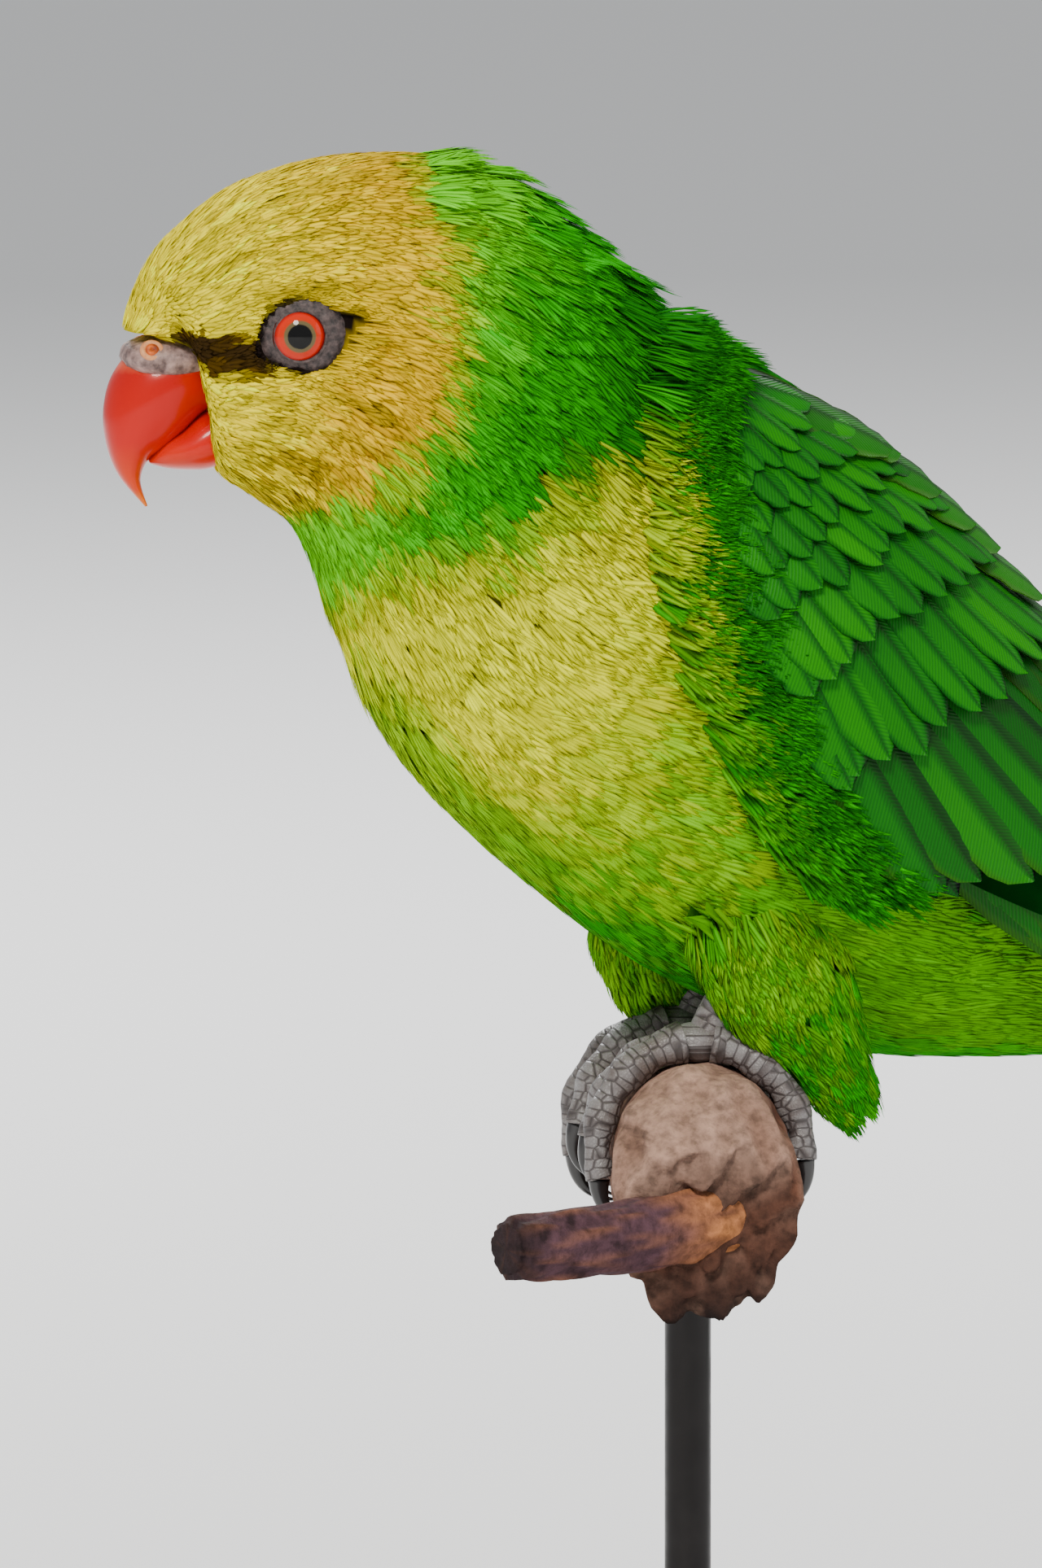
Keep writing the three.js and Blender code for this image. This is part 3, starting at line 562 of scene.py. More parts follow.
def scattered(t_range, spacing, keep, tries):
    """Even but irregular places on the body, at least spacing apart, as rows and angles."""
    t = rng.uniform(*t_range, tries)
    a = rng.uniform(0, 2 * math.pi, tries)
    p = body_point(t, a)
    gap = spacing(t, a)
    wanted = keep(t, p)
    cell = gap.max()
    grid = {}
    chosen = []
    for i in np.flatnonzero(wanted):
        key = tuple((p[i] // cell).astype(int))
        near = [j for dx in (-1, 0, 1) for dy in (-1, 0, 1) for dz in (-1, 0, 1)
                for j in grid.get((key[0] + dx, key[1] + dy, key[2] + dz), ())]
        if near and np.min(np.sum((p[near] - p[i]) ** 2, 1)) < gap[i] ** 2:
            continue
        grid.setdefault(key, []).append(i)
        chosen.append(i)
    return np.stack([t[chosen], a[chosen]], -1)


def surface_steps(point, root, swerve):
    """Map steps for a millimetre along each feather's lie and across it."""
    _, along, around, normal = surface(point, root[:, 0], root[:, 1])
    lie = unit(along)
    side = unit(np.cross(normal, lie))
    turn = np.radians(swerve)[:, None]
    lie, side = lie * np.cos(turn) + side * np.sin(turn), side * np.cos(turn) - lie * np.sin(turn)
    basis = np.stack([along, around], -1)
    solve = np.linalg.pinv(basis)
    return np.einsum("nij,nj->ni", solve, lie), np.einsum("nij,nj->ni", solve, side)


BILL_BACK, BILL_BOTTOM, CERE_TOP = -58.6, 75.5, 91.2


def in_bill(p):
    """True where the bill and the cere are, with no feathers."""
    flat = turned(p, -HEAD_TURN)
    return (flat[..., 0] < BILL_BACK) & (flat[..., 2] < CERE_TOP) & (flat[..., 2] > BILL_BOTTOM)


def under_wing(p):
    """True well inside the folded wing's cover."""
    dx, dz = p[..., 0] - WING_FROM[0], p[..., 2] - WING_FROM[1]
    c = math.sqrt(0.5)
    u, up = (dx - dz) * c, (dx + dz) * c
    rise = curve_at(WING_SHAPE[:, :2], u)
    return (u > 5) & (u < 84) & (up > rise - 2) & (up < rise + 20) & (np.abs(p[..., 1]) > 7)


ROOT_SHADE, TIP_SHADE = 0.88, 1.04


def feather_coat(name, slot, point, root, ahead, across, colour, spec, streak):
    """Fans of barbs at the given roots of a map, coloured feather by feather."""
    count = len(root)
    points, s, lane, noise = fan_vertices(point, root, ahead, across, spec)
    shade = 1 + 0.09 * rng.normal(size=(count, 1, 1)) + streak * np.clip(noise, -1.5, 1.5) * 0.5
    shade = shade * (ROOT_SHADE + (TIP_SHADE - ROOT_SHADE) * s**0.7)
    colours = colour[:, None, None, :] * shade[..., None]
    colours = np.broadcast_to(colours[:, :, :, None, :], points.shape)
    bake = bake_patch(root, points.shape[:-1], s, lane)
    coat_pieces(name, points, clamp(colours), bake, slot)


def lie_swerve(t, a):
    """How far the feathers turn from the body's length, up towards the wing on the flanks."""
    return 24 * np.sin(a) * smooth(7.5, 9.5, t) * smooth(14.5, 12.5, t)


def beyond_eye(t, a):
    """0 at the bare skin of an eye to 1 well away from it."""
    far, angle, *_ = eye_polar(body_point(t, a))
    return np.where(t < 5.2, smooth(0, 5, far - bare_edge(angle)), 1.0)


def nape(t, a):
    """1 on the nape, where the collar stands up in steps, to 0 elsewhere."""
    return smooth(0.35, 0.8, np.cos(a)) * smooth(4.9, 5.4, t) * smooth(8.2, 7.2, t)


def plumage(name, slot, rows, spacing, length, width, barbs, tries, streak, ruffle, loose=0.6, sink=0.4):
    """One region of the body's soft coat, between two rows. Sizes are given as pairs of a row and a value."""
    coarse = 1.0

    def keep(t, p):
        far, angle, *_ = eye_polar(p)
        clear = (t > 5) | (far > bare_edge(angle) * 1.03)
        return clear & ~in_bill(p) & ~under_wing(p)

    def gap(t, a):
        return curve_at(spacing, t) * coarse * (0.6 + 0.4 * beyond_eye(t, a))

    root = scattered(rows, gap, keep, int(tries / coarse**2))
    t, a = root[:, 0], root[:, 1]
    jitter = rng.normal(0, 1, len(t))
    wave = np.sin(2.1 * t + 1.7 * np.sin(3 * a)) * np.sin(5 * a + 2.6 * t)
    swerve = lie_swerve(t, a) + rng.normal(0, 6, len(t))
    small = 0.5 + 0.5 * beyond_eye(t, a)
    uneven = 1 + wave * np.where(ruffle > 0.1, 0.18 + 0.2 * nape(t, a), 0.05)
    long = curve_at(length, t) * rng.uniform(0.88, 1.12, len(t)) * uneven * small
    ahead, across = surface_steps(body_point, root, swerve)
    far, angle, *_ = eye_polar(body_point(t, a))
    tip = body_point(t + ahead[:, 0] * long, a + ahead[:, 1] * long)
    tip_far, tip_angle, *_ = eye_polar(tip)
    at_eye = (t < 4.5) & (tip_far < bare_edge(tip_angle))
    long = np.where(at_eye, np.clip((far - bare_edge(angle)) * 0.9, 0.7, long), long)
    spec = {
        "barbs": barbs, "length": long, "width": curve_at(width, t) * coarse * small, "loose": loose,
        "ridge": 0.04, "arch": 0.02, "outward": 1, "low": -coat_depth(t) * sink,
        "high": rng.normal(0.0, 0.05, len(t)) + ruffle * (0.35 + wave) * (1 + 2.2 * nape(t, a)),
    }
    shown = body_colour(t + ahead[:, 0] * long * 0.7, a + ahead[:, 1] * long * 0.7, jitter * 0.5)
    feather_coat(name, slot, body_point, root, ahead, across, shown, spec, streak)


def make_plumage():
    plumage(
        "head_coat", "head_feathers", (0.05, 5.6), spacing=[[0, 0.52], [2, 0.7], [5.6, 0.96]],
        length=[[0, 1.6], [1, 2.8], [3, 4.6], [5.6, 6.4]], width=[[0, 0.7], [2, 1.0], [5.6, 1.6]],
        barbs=4, tries=90000, streak=0.3, ruffle=0.12,
    )
    plumage(
        "neck_coat", "neck_feathers", (5.1, 8.6), spacing=[[5.2, 1.35], [8.6, 1.9]],
        length=[[5.2, 5.6], [8.6, 8.0]], width=[[5.2, 2.3], [8.6, 3.4]],
        barbs=9, tries=30000, streak=0.22, ruffle=0.35,
    )
    plumage(
        "body_coat", "breast_feathers", (8.2, 15.9), spacing=[[8.3, 1.9], [12, 2.1], [16, 1.8]],
        length=[[8.3, 8.5], [12, 10], [16, 8]], width=[[8.3, 4.4], [12, 5.2], [16, 4.0]],
        barbs=12, tries=40000, streak=0.08, ruffle=0.04, loose=0.3, sink=0.24,
    )
    nape_tufts()


def nape_tufts():
    """Feathers of the collar that stand a little proud in rows, so that the nape's outline is stepped."""
    rows, count = 5, 34
    t = 5.0 + 0.58 * np.repeat(np.arange(rows), count) + rng.normal(0, 0.07, rows * count)
    a = rng.normal(0, 0.5, rows * count)
    root = np.stack([t, a], -1)
    ahead, across = surface_steps(body_point, root, rng.normal(0, 9, len(t)))
    long = rng.uniform(5.5, 8.5, len(t))
    jitter = rng.normal(0, 0.5, len(t))
    # Painted light: the tufts are 15% brighter than the plumage, so that they look lit against the shaded
    # nape
    colour = body_colour(t + ahead[:, 0] * long * 0.8, a + ahead[:, 1] * long * 0.8, jitter) * 1.15
    spec = {
        "barbs": 9, "length": long, "width": rng.uniform(2.4, 3.4, len(t)), "loose": 1.0, "ridge": 0.05,
        "arch": 0.3, "outward": 1, "low": -coat_depth(t) * 0.5,
        "high": rng.uniform(0.5, 1.9, len(t)) * smooth(1.2, 0.5, np.abs(a)),
    }
    feather_coat("nape_tufts", "neck_feathers", body_point, root, ahead, across, colour, spec, 0.25)


# Firm feathers: vanes with a shaft, on the mapped surfaces of the wing and the tail

VANE_FORMS = {
    "covert": [[0, 0.6], [0.25, 0.92], [0.55, 1.0], [0.75, 0.93], [0.88, 0.72], [0.96, 0.42], [1, 0.05]],
    "flight": [[0, 0.45], [0.2, 0.85], [0.5, 1.0], [0.75, 0.9], [0.9, 0.66], [0.97, 0.38], [1, 0.05]],
}


def vane(point, rows, columns, root, tip, width, low, high, form="covert", roll=0.0, bend=0.0):
    """Points of one closed feather, shaped 2 faces, rows, columns, 3, with its along and across shares."""
    root, tip = np.asarray(root, float), np.asarray(tip, float)
    span = tip - root
    length = np.linalg.norm(span)
    side = np.array([-span[1], span[0]]) / length
    s = 1 - (1 - np.linspace(0, 1, rows)) ** 1.25
    e = np.linspace(-1, 1, columns)
    half = np.interp(s, *np.array(VANE_FORMS[form]).T)[:, None] * width / 2
    ragged = 1 + 0.05 * rng.normal(size=(rows, 1)) * (np.abs(e) > 0.9)
    across = half * ragged * e[None, :] + bend * np.sin(math.pi * s)[:, None]
    uv = root + span * s[:, None, None] + side * across[..., None]
    h = (low + (high - low) * np.minimum(1, s * 1.15))[:, None] - roll * e[None, :]
    h = h - 0.25 * (e**2)[None, :] * np.ones((rows, 1))
    ridge = 0.09 * np.exp(-((e / 0.14) ** 2))[None, :]
    thick = 0.16 * (1 - 0.5 * e**2)[None, :]
    top = point(uv[..., 0], uv[..., 1], h + thick + ridge)
    bottom = point(uv[..., 0], uv[..., 1], h - thick)
    return np.stack([top, bottom]), s, e, length, across


def vane_faces(rows, columns):
    top = grid_faces(rows, columns)
    bottom = top[:, ::-1] + rows * columns
    count = rows * columns
    rim = [r * columns for r in range(rows)]
    rim += [(rows - 1) * columns + c for c in range(1, columns)]
    rim += [r * columns + columns - 1 for r in range(rows - 2, -1, -1)]
    rim += [c for c in range(columns - 2, 0, -1)]
    wall = [[a, a + count, b + count, b] for a, b in zip(rim, rim[1:] + rim[:1])]
    return np.concatenate([top, bottom, np.array(wall)])


class VaneSet:
    """Gathers vanes into one piece."""

    def __init__(self, point, rows=13, columns=9):
        self.point, self.rows, self.columns = point, rows, columns
        self.vertices, self.colours, self.barbs, self.bake = [], [], [], []

    def add(self, paint, place, **spec):
        """paint gives the colour from the along share, the across share and a draw for the feather."""
        points, s, e, length, across = vane(self.point, self.rows, self.columns, **spec)
        draw = rng.normal()
        s2, e2 = np.meshgrid(s, e, indexing="ij")
        colour = clamp(paint(s2, e2, draw))
        self.vertices.append(points.reshape(-1, 3))
        self.colours.append(np.stack([colour, colour * 0.6]).reshape(-1, 3))
        barbs = np.stack([across, length * s2], -1)
        self.barbs.append(np.stack([barbs, barbs]).reshape(-1, 2))
        patch = np.stack([place[0] + e2 * PATCH / 2, place[1] + (s2 - 0.5) * PATCH], -1)
        self.bake.append(np.stack([patch, patch]).reshape(-1, 2))

    def build(self, name, slot, *nodes):
        one = vane_faces(self.rows, self.columns)
        step = 2 * self.rows * self.columns
        faces = np.concatenate([one + k * step for k in range(len(self.vertices))])
        obj = new_object(name, np.concatenate(self.vertices), faces)
        add_uv(obj, "OFBake", np.concatenate(self.bake))
        add_uv(obj, "Barbs", np.concatenate(self.barbs))
        add_tint(obj, np.concatenate(self.colours))
        return finish_piece(obj, VANES, slot, *nodes)


# The folded wing's own map: u from the wrist to the wing tip, v up from the mid-line, h out from the surface
WING_FROM = (-16.0, 66.0)
WING_PITCH = math.radians(45)
WING_SHAPE = np.array([  # u, height of the mid-line, upper radius, lower radius, reach
    [-8, 6.5, 22, 26, 22.6],
    [0, 5, 26, 30, 25.8],
    [20, 6, 28, 30, 27.9],
    [45, 7, 27, 29, 27.2],
    [70, 11.5, 21.5, 24, 22.8],
    [95, 17, 14, 17, 16.6],
    [120, 20, 10.5, 12, 11.4],
    [145, 21.5, 9, 9, 8.0],
])


def wing_point(side):
    def point(u, v, h):
        u, v, h = np.broadcast_arrays(*(np.asarray(x, float) for x in (u, v, h)))
        row = catmull(WING_SHAPE[:, 1:], np.interp(u, WING_SHAPE[:, 0], np.arange(len(WING_SHAPE))))
        rise, upper, lower, reach = np.moveaxis(row, -1, 0)
        angle = math.pi / 2 - v / ((upper + reach) / 2)
        up = rise + (np.where(v > 0, upper, lower) + h) * np.cos(angle)
        x = WING_FROM[0] + u * math.cos(WING_PITCH) + up * math.sin(WING_PITCH)
        z = WING_FROM[1] - u * math.sin(WING_PITCH) + up * math.cos(WING_PITCH)
        return np.stack([x, side * (reach + h) * np.sin(angle), z], -1)

    return point


def web_paint(bright, dark, rim, edge_share=0.0, dark_side=1):
    """A green vane whose inner web is dark, with a narrow rim, and darker towards its root: painted shade
    from the feathers that lie over it.
    """
    def paint(s, e, draw):
        warm = np.array([1 + 0.5 * max(draw, 0), 1.0, 1.0])
        # Painted shade: the vane is darker near its root, in the shadow of the feather above
        green = blend(bright * 0.55, bright * warm, smooth(0.15, 0.75, s)) * (1 + 0.16 * draw)
        inner = smooth(edge_share - 0.25, edge_share + 0.25, e * dark_side)
        colour = blend(green, dark, inner)
        colour = blend(colour, rim, smooth(0.82, 1.0, np.abs(e)) * 0.6)
        shaft = np.exp(-((e / 0.1) ** 2)) * 0.7
        return blend(colour, dark * 0.6, shaft)

    return paint


WING_ROWS = [  # name, count, root line, tip line, width, low, high, further settings
    ("primary", 8, [[36, -5], [42, 8]], [[143, 4], [122, 6.5], [99, 13]], 9.5, -0.4, 0.2,
     {"form": "flight", "climb": 0.4, "bend": -1.2, "roll": 0.1}),
    ("secondary", 9, [[14, -2], [26, 18]], [[47, -9], [62, 1], [86, 16]], 9.5, 0.3, 2.2,
     {"form": "flight", "climb": 0.1, "roll": 0.35, "bend": 0.5}),
    ("tertial", 3, [[24, 19], [30, 24]], [[84, 19], [76, 22], [68, 25]], 10, 0.6, 2.9,
     {"form": "flight", "climb": 0.25, "roll": 0.3}),
    ("primary_covert", 6, [[8, 5], [16, 0]], [[34, -12], [52, -8]], 5, 0.2, 0.9,
     {"climb": 0.22, "roll": 0.15}),
    ("greater", 11, [[9, 0], [21, 25]], [[33, -7.5], [38, 8], [47, 26]], 6.6, 0.2, 2.9, {"roll": 0.32}),
    ("median", 11, [[4, 3], [13, 26]], [[22, -3], [26, 12], [33, 27]], 6.4, 0.2, 3.1, {"roll": 0.3}),
    ("lesser_1", 10, [[0, 5], [8, 26]], [[14, 0], [18, 13], [24, 27]], 6, 0.2, 3.1, {"roll": 0.3}),
    ("lesser_2", 9, [[-3, 7], [4, 25]], [[9, 3], [13, 13], [18, 27]], 5.6, 0.1, 2.9, {"roll": 0.28}),
    ("lesser_3", 8, [[-5, 9], [0, 24]], [[5, 5], [8, 14], [11, 26]], 5.4, 0.1, 2.7, {"roll": 0.26}),
    ("lesser_4", 7, [[-8, 10], [-4, 23]], [[1, 8], [3, 14], [5, 25]], 5.2, 0.0, 2.3, {"roll": 0.25}),
    ("scapular", 9, [[-4, 24], [14, 28], [38, 26]], [[14, 27], [34, 29.5], [62, 23]], 8.5, 0.1, 3.3,
     {"roll": 0.25}),
]


def line_at(line, s):
    return catmull(np.array(line, float), s * (len(line) - 1))


def wing_paint(name):
    if name in ("primary", "secondary", "tertial"):
        return web_paint(linear(10, 104, 2), INK, linear(50, 96, 4), 0.25)
    if name == "primary_covert":
        return web_paint(linear(4, 78, 8), INK, linear(2, 30, 6), 0.35)
    if name == "scapular":
        return web_paint(linear(24, 112, 0), linear(2, 50, 4), linear(60, 112, 2), 0.55)
    return web_paint(linear(14, 116, 0), linear(0, 52, 4), linear(0, 26, 4), 0.6)


def make_wing(name, side):
    vanes = VaneSet(wing_point(side))
    for index, (kind, count, roots, tips, width, low, high, more) in enumerate(WING_ROWS):
        settings = dict(more)
        climb = settings.pop("climb", 0.0)
        for k in range(count):
            s = k / (count - 1)
            tip = line_at(tips, s) + rng.uniform(-1.3, 1.3, 2) * (1, 0.5)
            place = ((index + 0.5) / len(WING_ROWS), (k + 0.5) / count)
            wide = width * rng.uniform(0.9, 1.12)
            top = high + climb * k + rng.normal(0, 0.08)
            vanes.add(wing_paint(kind), place, root=line_at(roots, s), tip=tip, width=wide, low=low, high=top,
                      **settings)
    vanes.build(f"{name}_vanes", "wing_feathers", name)
    wing_bed(name, side)
    wing_fringe(name, side)


FRINGE = [[-12, 27], [-13, 16], [-10, 6], [-3, -1], [7, -6.5], [17, -11.5], [29, -15], [43, -15]]


def wing_fringe(name, side):
    """Soft feathers of the shoulder and flank that lie over the wing's front edge."""
    count = 700
    share = rng.uniform(0, 1, count)
    inward = rng.uniform(-2.5, 4.8, count)
    lean = smooth(0.15, 0.45, share)[:, None]
    inwards = np.array([1, 0]) * (1 - lean) + np.array([0.45, 0.9]) * lean
    root = line_at(FRINGE, share) + inward[:, None] * inwards
    turn = np.radians(rng.normal(0, 7, count) + 24 * lean[:, 0])
    ahead = np.stack([np.cos(turn), np.sin(turn)], -1)
    across = np.stack([-np.sin(turn), np.cos(turn)], -1)
    green = blend(GRASS, EMERALD, rng.uniform(0, 0.9, count))
    lit = smooth(0.6, -2.2, inward + rng.normal(0, 0.9, count))
    lit = lit * smooth(0.22, 0.42, share) * smooth(1.0, 0.8, share)
    warm = blend(BREAST, BELLY, smooth(0.25, 0.5, share + rng.normal(0, 0.08, count)))
    warm = blend(warm, GRASS, smooth(0.45, 0.8, share + rng.normal(0, 0.08, count)) * 0.8)
    colour = blend(green, warm, lit)
    spec = {
        "barbs": 9, "length": rng.uniform(4.4, 7.4, count), "width": rng.uniform(2.0, 3.2, count),
        "loose": 0.8, "ridge": 0.04, "arch": 0.08, "outward": side, "low": np.full(count, -1.8),
        "high": 3.0 - 0.5 * smooth(0.25, 0, share) + rng.normal(0, 0.2, count),
    }

    def point(u, v):
        return wing_point(side)(u, v, 0.0)

    feather_coat(f"{name}_fringe", "wing_feathers", point, root, ahead, across, colour, spec, 0.15)


BED_LOWER = [[-5, 9], [2, 5.5], [12, 1], [22, -4], [34, -8], [46, -7], [62, -4], [78, 0]]
BED_UPPER = [[-5, 17], [2, 25], [12, 28], [22, 29], [34, 28.5], [46, 26], [62, 20], [78, 11]]


def wing_bed(name, side):
    """The wing's own skin under its vanes."""
    point = wing_point(side)
    rows, columns = 40, 14
    s = np.linspace(0, 1, rows)
    e = np.linspace(0, 1, columns)[None, :, None]
    uv = line_at(BED_LOWER, s)[:, None] * (1 - e) + line_at(BED_UPPER, s)[:, None] * e
    top = point(uv[..., 0], uv[..., 1], 0.5)
    bottom = point(uv[..., 0], uv[..., 1], -3.0)
    obj = new_object(f"{name}_bed", np.stack([top, bottom]), vane_faces(rows, columns))
    flat = np.stack(np.meshgrid(s, np.linspace(0, 1, columns), indexing="ij"), -1)
    add_uv(obj, "OFBake", np.stack([flat, flat]))
    add_tint(obj, DEEP)
    finish_piece(obj, PLUMAGE, "wing_feathers")


# The tail's own map: s from its root to its tip, y across it and n up from it
TAIL_ROOT = np.array([64.8, 13.9])
TAIL_PITCH = math.radians(44)


def tail_point(s, y, n):
    s, y, n = np.broadcast_arrays(*(np.asarray(x, float) for x in (s, y, n)))
    n = n - 0.02 * y * y
    x = TAIL_ROOT[0] + s * math.cos(TAIL_PITCH) + n * math.sin(TAIL_PITCH)
    z = TAIL_ROOT[1] - s * math.sin(TAIL_PITCH) + n * math.cos(TAIL_PITCH)
    return np.stack([x, y, z], -1)


TAIL_PAIRS = [  # length, root offset, tip offset, level
    (98, 0.8, 1.7, 3.3),
    (93, 1.8, 3.8, 2.9),
    (85, 2.8, 5.7, 2.5),
    (76, 3.7, 7.4, 2.1),
    (66, 4.5, 8.9, 1.7),
    (56, 5.2, 10.2, 1.3),
]
TAIL_CORE = np.array([
    [68.85, 22.2, 61.5, 5.0, 7.9],
    [75.5, 13.5, 69.5, 0.5, 7.4],
    [84.0, 3.2, 80.0, -4.5, 6.6],
    [93.5, -7.0, 91.3, -10.2, 5.4],
])


def make_tail():
    vanes = VaneSet(tail_point, rows=17)
    green = web_paint(linear(14, 102, 2), linear(4, 50, 6), linear(90, 110, 6), 0.5)
    yellow = web_paint(linear(120, 140, 2), linear(80, 96, 6), linear(140, 140, 8), 0.6)
    for side in SIDES.values():
        for k, (length, root, tip, level) in enumerate(TAIL_PAIRS):
            vanes.add(green, (0.1 + 0.05 * k, 0.5 + 0.2 * side), root=(10, side * root),
                      tip=(length, side * tip), width=8.6, low=level, high=level, form="flight",
                      roll=0.12 * side)
    rows = [
        (7, [[-5, -7], [-5, 7]], [[14, -7], [16, 0], [14, 7]], 5.4, 9.3, 7.2, green),
        (6, [[0, -6], [0, 6]], [[23, -5.8], [26, 0], [23, 5.8]], 5.4, 7.9, 6.4, green),
        (5, [[6, -4.6], [6, 4.6]], [[32, -5], [36, 0], [32, 5]], 5.2, 6.6, 5.4, green),
        (4, [[12, -4], [12, 4]], [[42, -4.4], [47, 0], [42, 4.4]], 5.4, 4.9, 4.6, green),
        (5, [[2, -5], [2, 5]], [[26, -5], [28, 0], [26, 5]], 5.8, -6.4, -3.6, yellow),
        (4, [[10, -4.4], [10, 4.4]], [[38, -4.6], [42, 0], [38, 4.6]], 5.8, -4.0, -1.6, yellow),
        (4, [[16, -4], [16, 4]], [[50, -4], [54, 0], [50, 4]], 6, -1.8, 0.2, yellow),
    ]
    for index, (count, roots, tips, width, low, high, paint) in enumerate(rows):
        for k in range(count):
            s = k / (count - 1)
            vanes.add(paint, (0.45 + 0.07 * index, (k + 0.5) / count), root=line_at(roots, s), width=width,
                      tip=line_at(tips, s) + rng.uniform(-0.6, 0.6, 2), low=low, high=high)
    vanes.build("tail_vanes", "tail_feathers", "tail")
    core = loft_object("tail_bed", loft_grid(TAIL_CORE, 24, 32, turn=0.0))
    add_tint(core, EMERALD)
    finish_piece(core, PLUMAGE, "tail_feathers")


# Bill, cere and eyes, in side view from the eye's middle, before the head's turn

def from_eye(rows):
    rows = np.array(rows, float)
    rows[:, [0, 2]] += EYE[0]
    rows[:, [1, 3]] += EYE[2]
    return rows


UPPER = from_eye([
    [-11.4, -2.2, -6.0, -7.2, 4.3],
    [-16.8, -2.4, -9.4, -9.4, 5.0],
    [-19.4, -4.9, -11.6, -11.6, 5.0],
    [-20.5, -8.6, -13.5, -13.3, 4.4],
    [-20.3, -12.6, -15.5, -14.6, 3.3],
    [-18.9, -16.3, -16.4, -17.0, 1.8],
    [-15.9, -19.9, -15.6, -19.8, 0.3],
])
LOWER = from_eye([
    [-6.0, -8.6, -5.8, -14.6, 4.0],
    [-9.6, -10.4, -8.8, -15.7, 4.4],
    [-11.8, -12.2, -11.4, -15.8, 4.1],
    [-13.9, -13.4, -13.6, -15.6, 3.2],
    [-15.6, -14.5, -15.4, -15.1, 1.3],
])
MOUTH_CLOSE = 1.0  # how far the lower bill's edge goes up inside the upper one
LOWER[:4, 1] += MOUTH_CLOSE
CERE = from_eye([
    [-10.6, -0.6, -9.6, -5.6, 5.2],
    [-15.0, -0.7, -12.6, -6.2, 5.6],
    [-18.0, -1.6, -16.0, -5.6, 4.9],
    [-18.7, -3.0, -17.9, -4.6, 2.4],
])
NOSTRIL = {"at": (-15.6, -2.2), "out": 4.5, "radius": 1.0, "rim": 0.36, "lean": 56.0, "pit": (0.42, 0.44)}
BILL_TALL, BILL_DROP = 17, 20  # its height and how far its tip lies below the eye


def bill_material():
    made = material("bill_horn", linear(200, 12, 0), 0.3, Specular_IOR_Level=0.16, Coat_Weight=0.24,
                    Coat_Roughness=0.08)
    n = Nodes(made)
    tall = BILL_TALL * MM
    tip = (PERCH_AT[2] + EYE[2] - BILL_DROP) * MM
    height = n.math("MULTIPLY_ADD", n.parts(n.place())[2], 1 / tall, -tip / tall)
    streaks = n.noise(1.0, n.stretched((500, 500, 90)))
    mixed = n.math("ADD", height, n.math("MULTIPLY", streaks, 0.12))
    n.colour(n.ramp(mixed, (0.0, linear(236, 140, 8)), (0.2, linear(222, 60, 0)), (0.5, linear(200, 12, 0)),
                    (0.94, linear(184, 8, 0)), (1.06, linear(206, 76, 44))))
    n.bump(streaks, 0.12, 0.0001)
    return made


def skin_material(name, dark, light, scale):
    made = material(name, dark, 0.55)
    n = Nodes(made)
    wrinkles = n.noise(scale, detail=6.0)
    n.colour(n.ramp(wrinkles, (0.35, dark), (0.7, light)))
    n.bump(wrinkles, 0.6, 0.0004)
    return made


def make_bill():
    horn = bill_material()
    finish_piece(loft_object("upper_bill", loft_grid(UPPER, 60, 48)), horn, "bill_horn", "bill_upper")
    finish_piece(loft_object("lower_bill", loft_grid(LOWER, 40, 40)), horn, "bill_horn", "bill_lower")
    cere_skin = skin_material("cere_skin", linear(84, 64, 62), linear(184, 152, 144), 800.0)
    finish_piece(loft_object("cere_pad", loft_grid(CERE, 40, 48)), cere_skin, "cere_skin", "cere")
    rim_skin = skin_material("nostril_skin", linear(200, 120, 70), linear(240, 176, 120), 900.0)
    pit_skin = skin_material("nostril_pit_skin", linear(120, 40, 8), linear(236, 110, 20), 900.0)
    for name, side in SIDES.items():
        place = nostril_place(side)
        rim = torus(f"nostril_{name}", NOSTRIL["radius"], NOSTRIL["rim"], place)
        finish_piece(rim, rim_skin, "cere_skin")
        pit = torus(f"nostril_pit_{name}", *NOSTRIL["pit"], place)
        finish_piece(pit, pit_skin, "cere_skin")


def nostril_place(side):
    lean = math.radians(NOSTRIL["lean"])
    out = np.array([0.0, side * math.sin(lean), math.cos(lean)])

    def place(p):
        forward = np.array([1.0, 0.0, 0.0])
        sideways = np.cross(out, forward)
        centre = np.array([EYE[0] + NOSTRIL["at"][0], side * NOSTRIL["out"], EYE[2] + NOSTRIL["at"][1]])
        return turned(centre + p[..., :1] * forward + p[..., 1:2] * sideways + p[..., 2:] * out)

    return place


def torus(name, radius, tube, place, rings=48, sides=16):
    a, b = full_turn(rings)[:, None], full_turn(sides)[None, :]
    r = radius + tube * np.cos(b)
    p = np.stack([r * np.cos(a), r * np.sin(a), tube * np.sin(b) + 0 * a], -1)
    faces = grid_faces(rings + 1, sides, closed=True) % (rings * sides)
    return new_object(name, place(p), faces)


def side_place(side, out, forward):
    """Maps a flat disc's x, y and z, out of the head, onto one side of the head, facing a little forward."""
    lean = math.radians(forward)

    def place(p):
        x, z, y = p[..., 0], p[..., 1], p[..., 2]
        sx = x * math.cos(lean) - y * math.sin(lean)
        sy = (out + y * math.cos(lean) + x * math.sin(lean)) * side
        return turned(np.stack([EYE[0] + sx, sy, EYE[2] + z], -1))

    return place


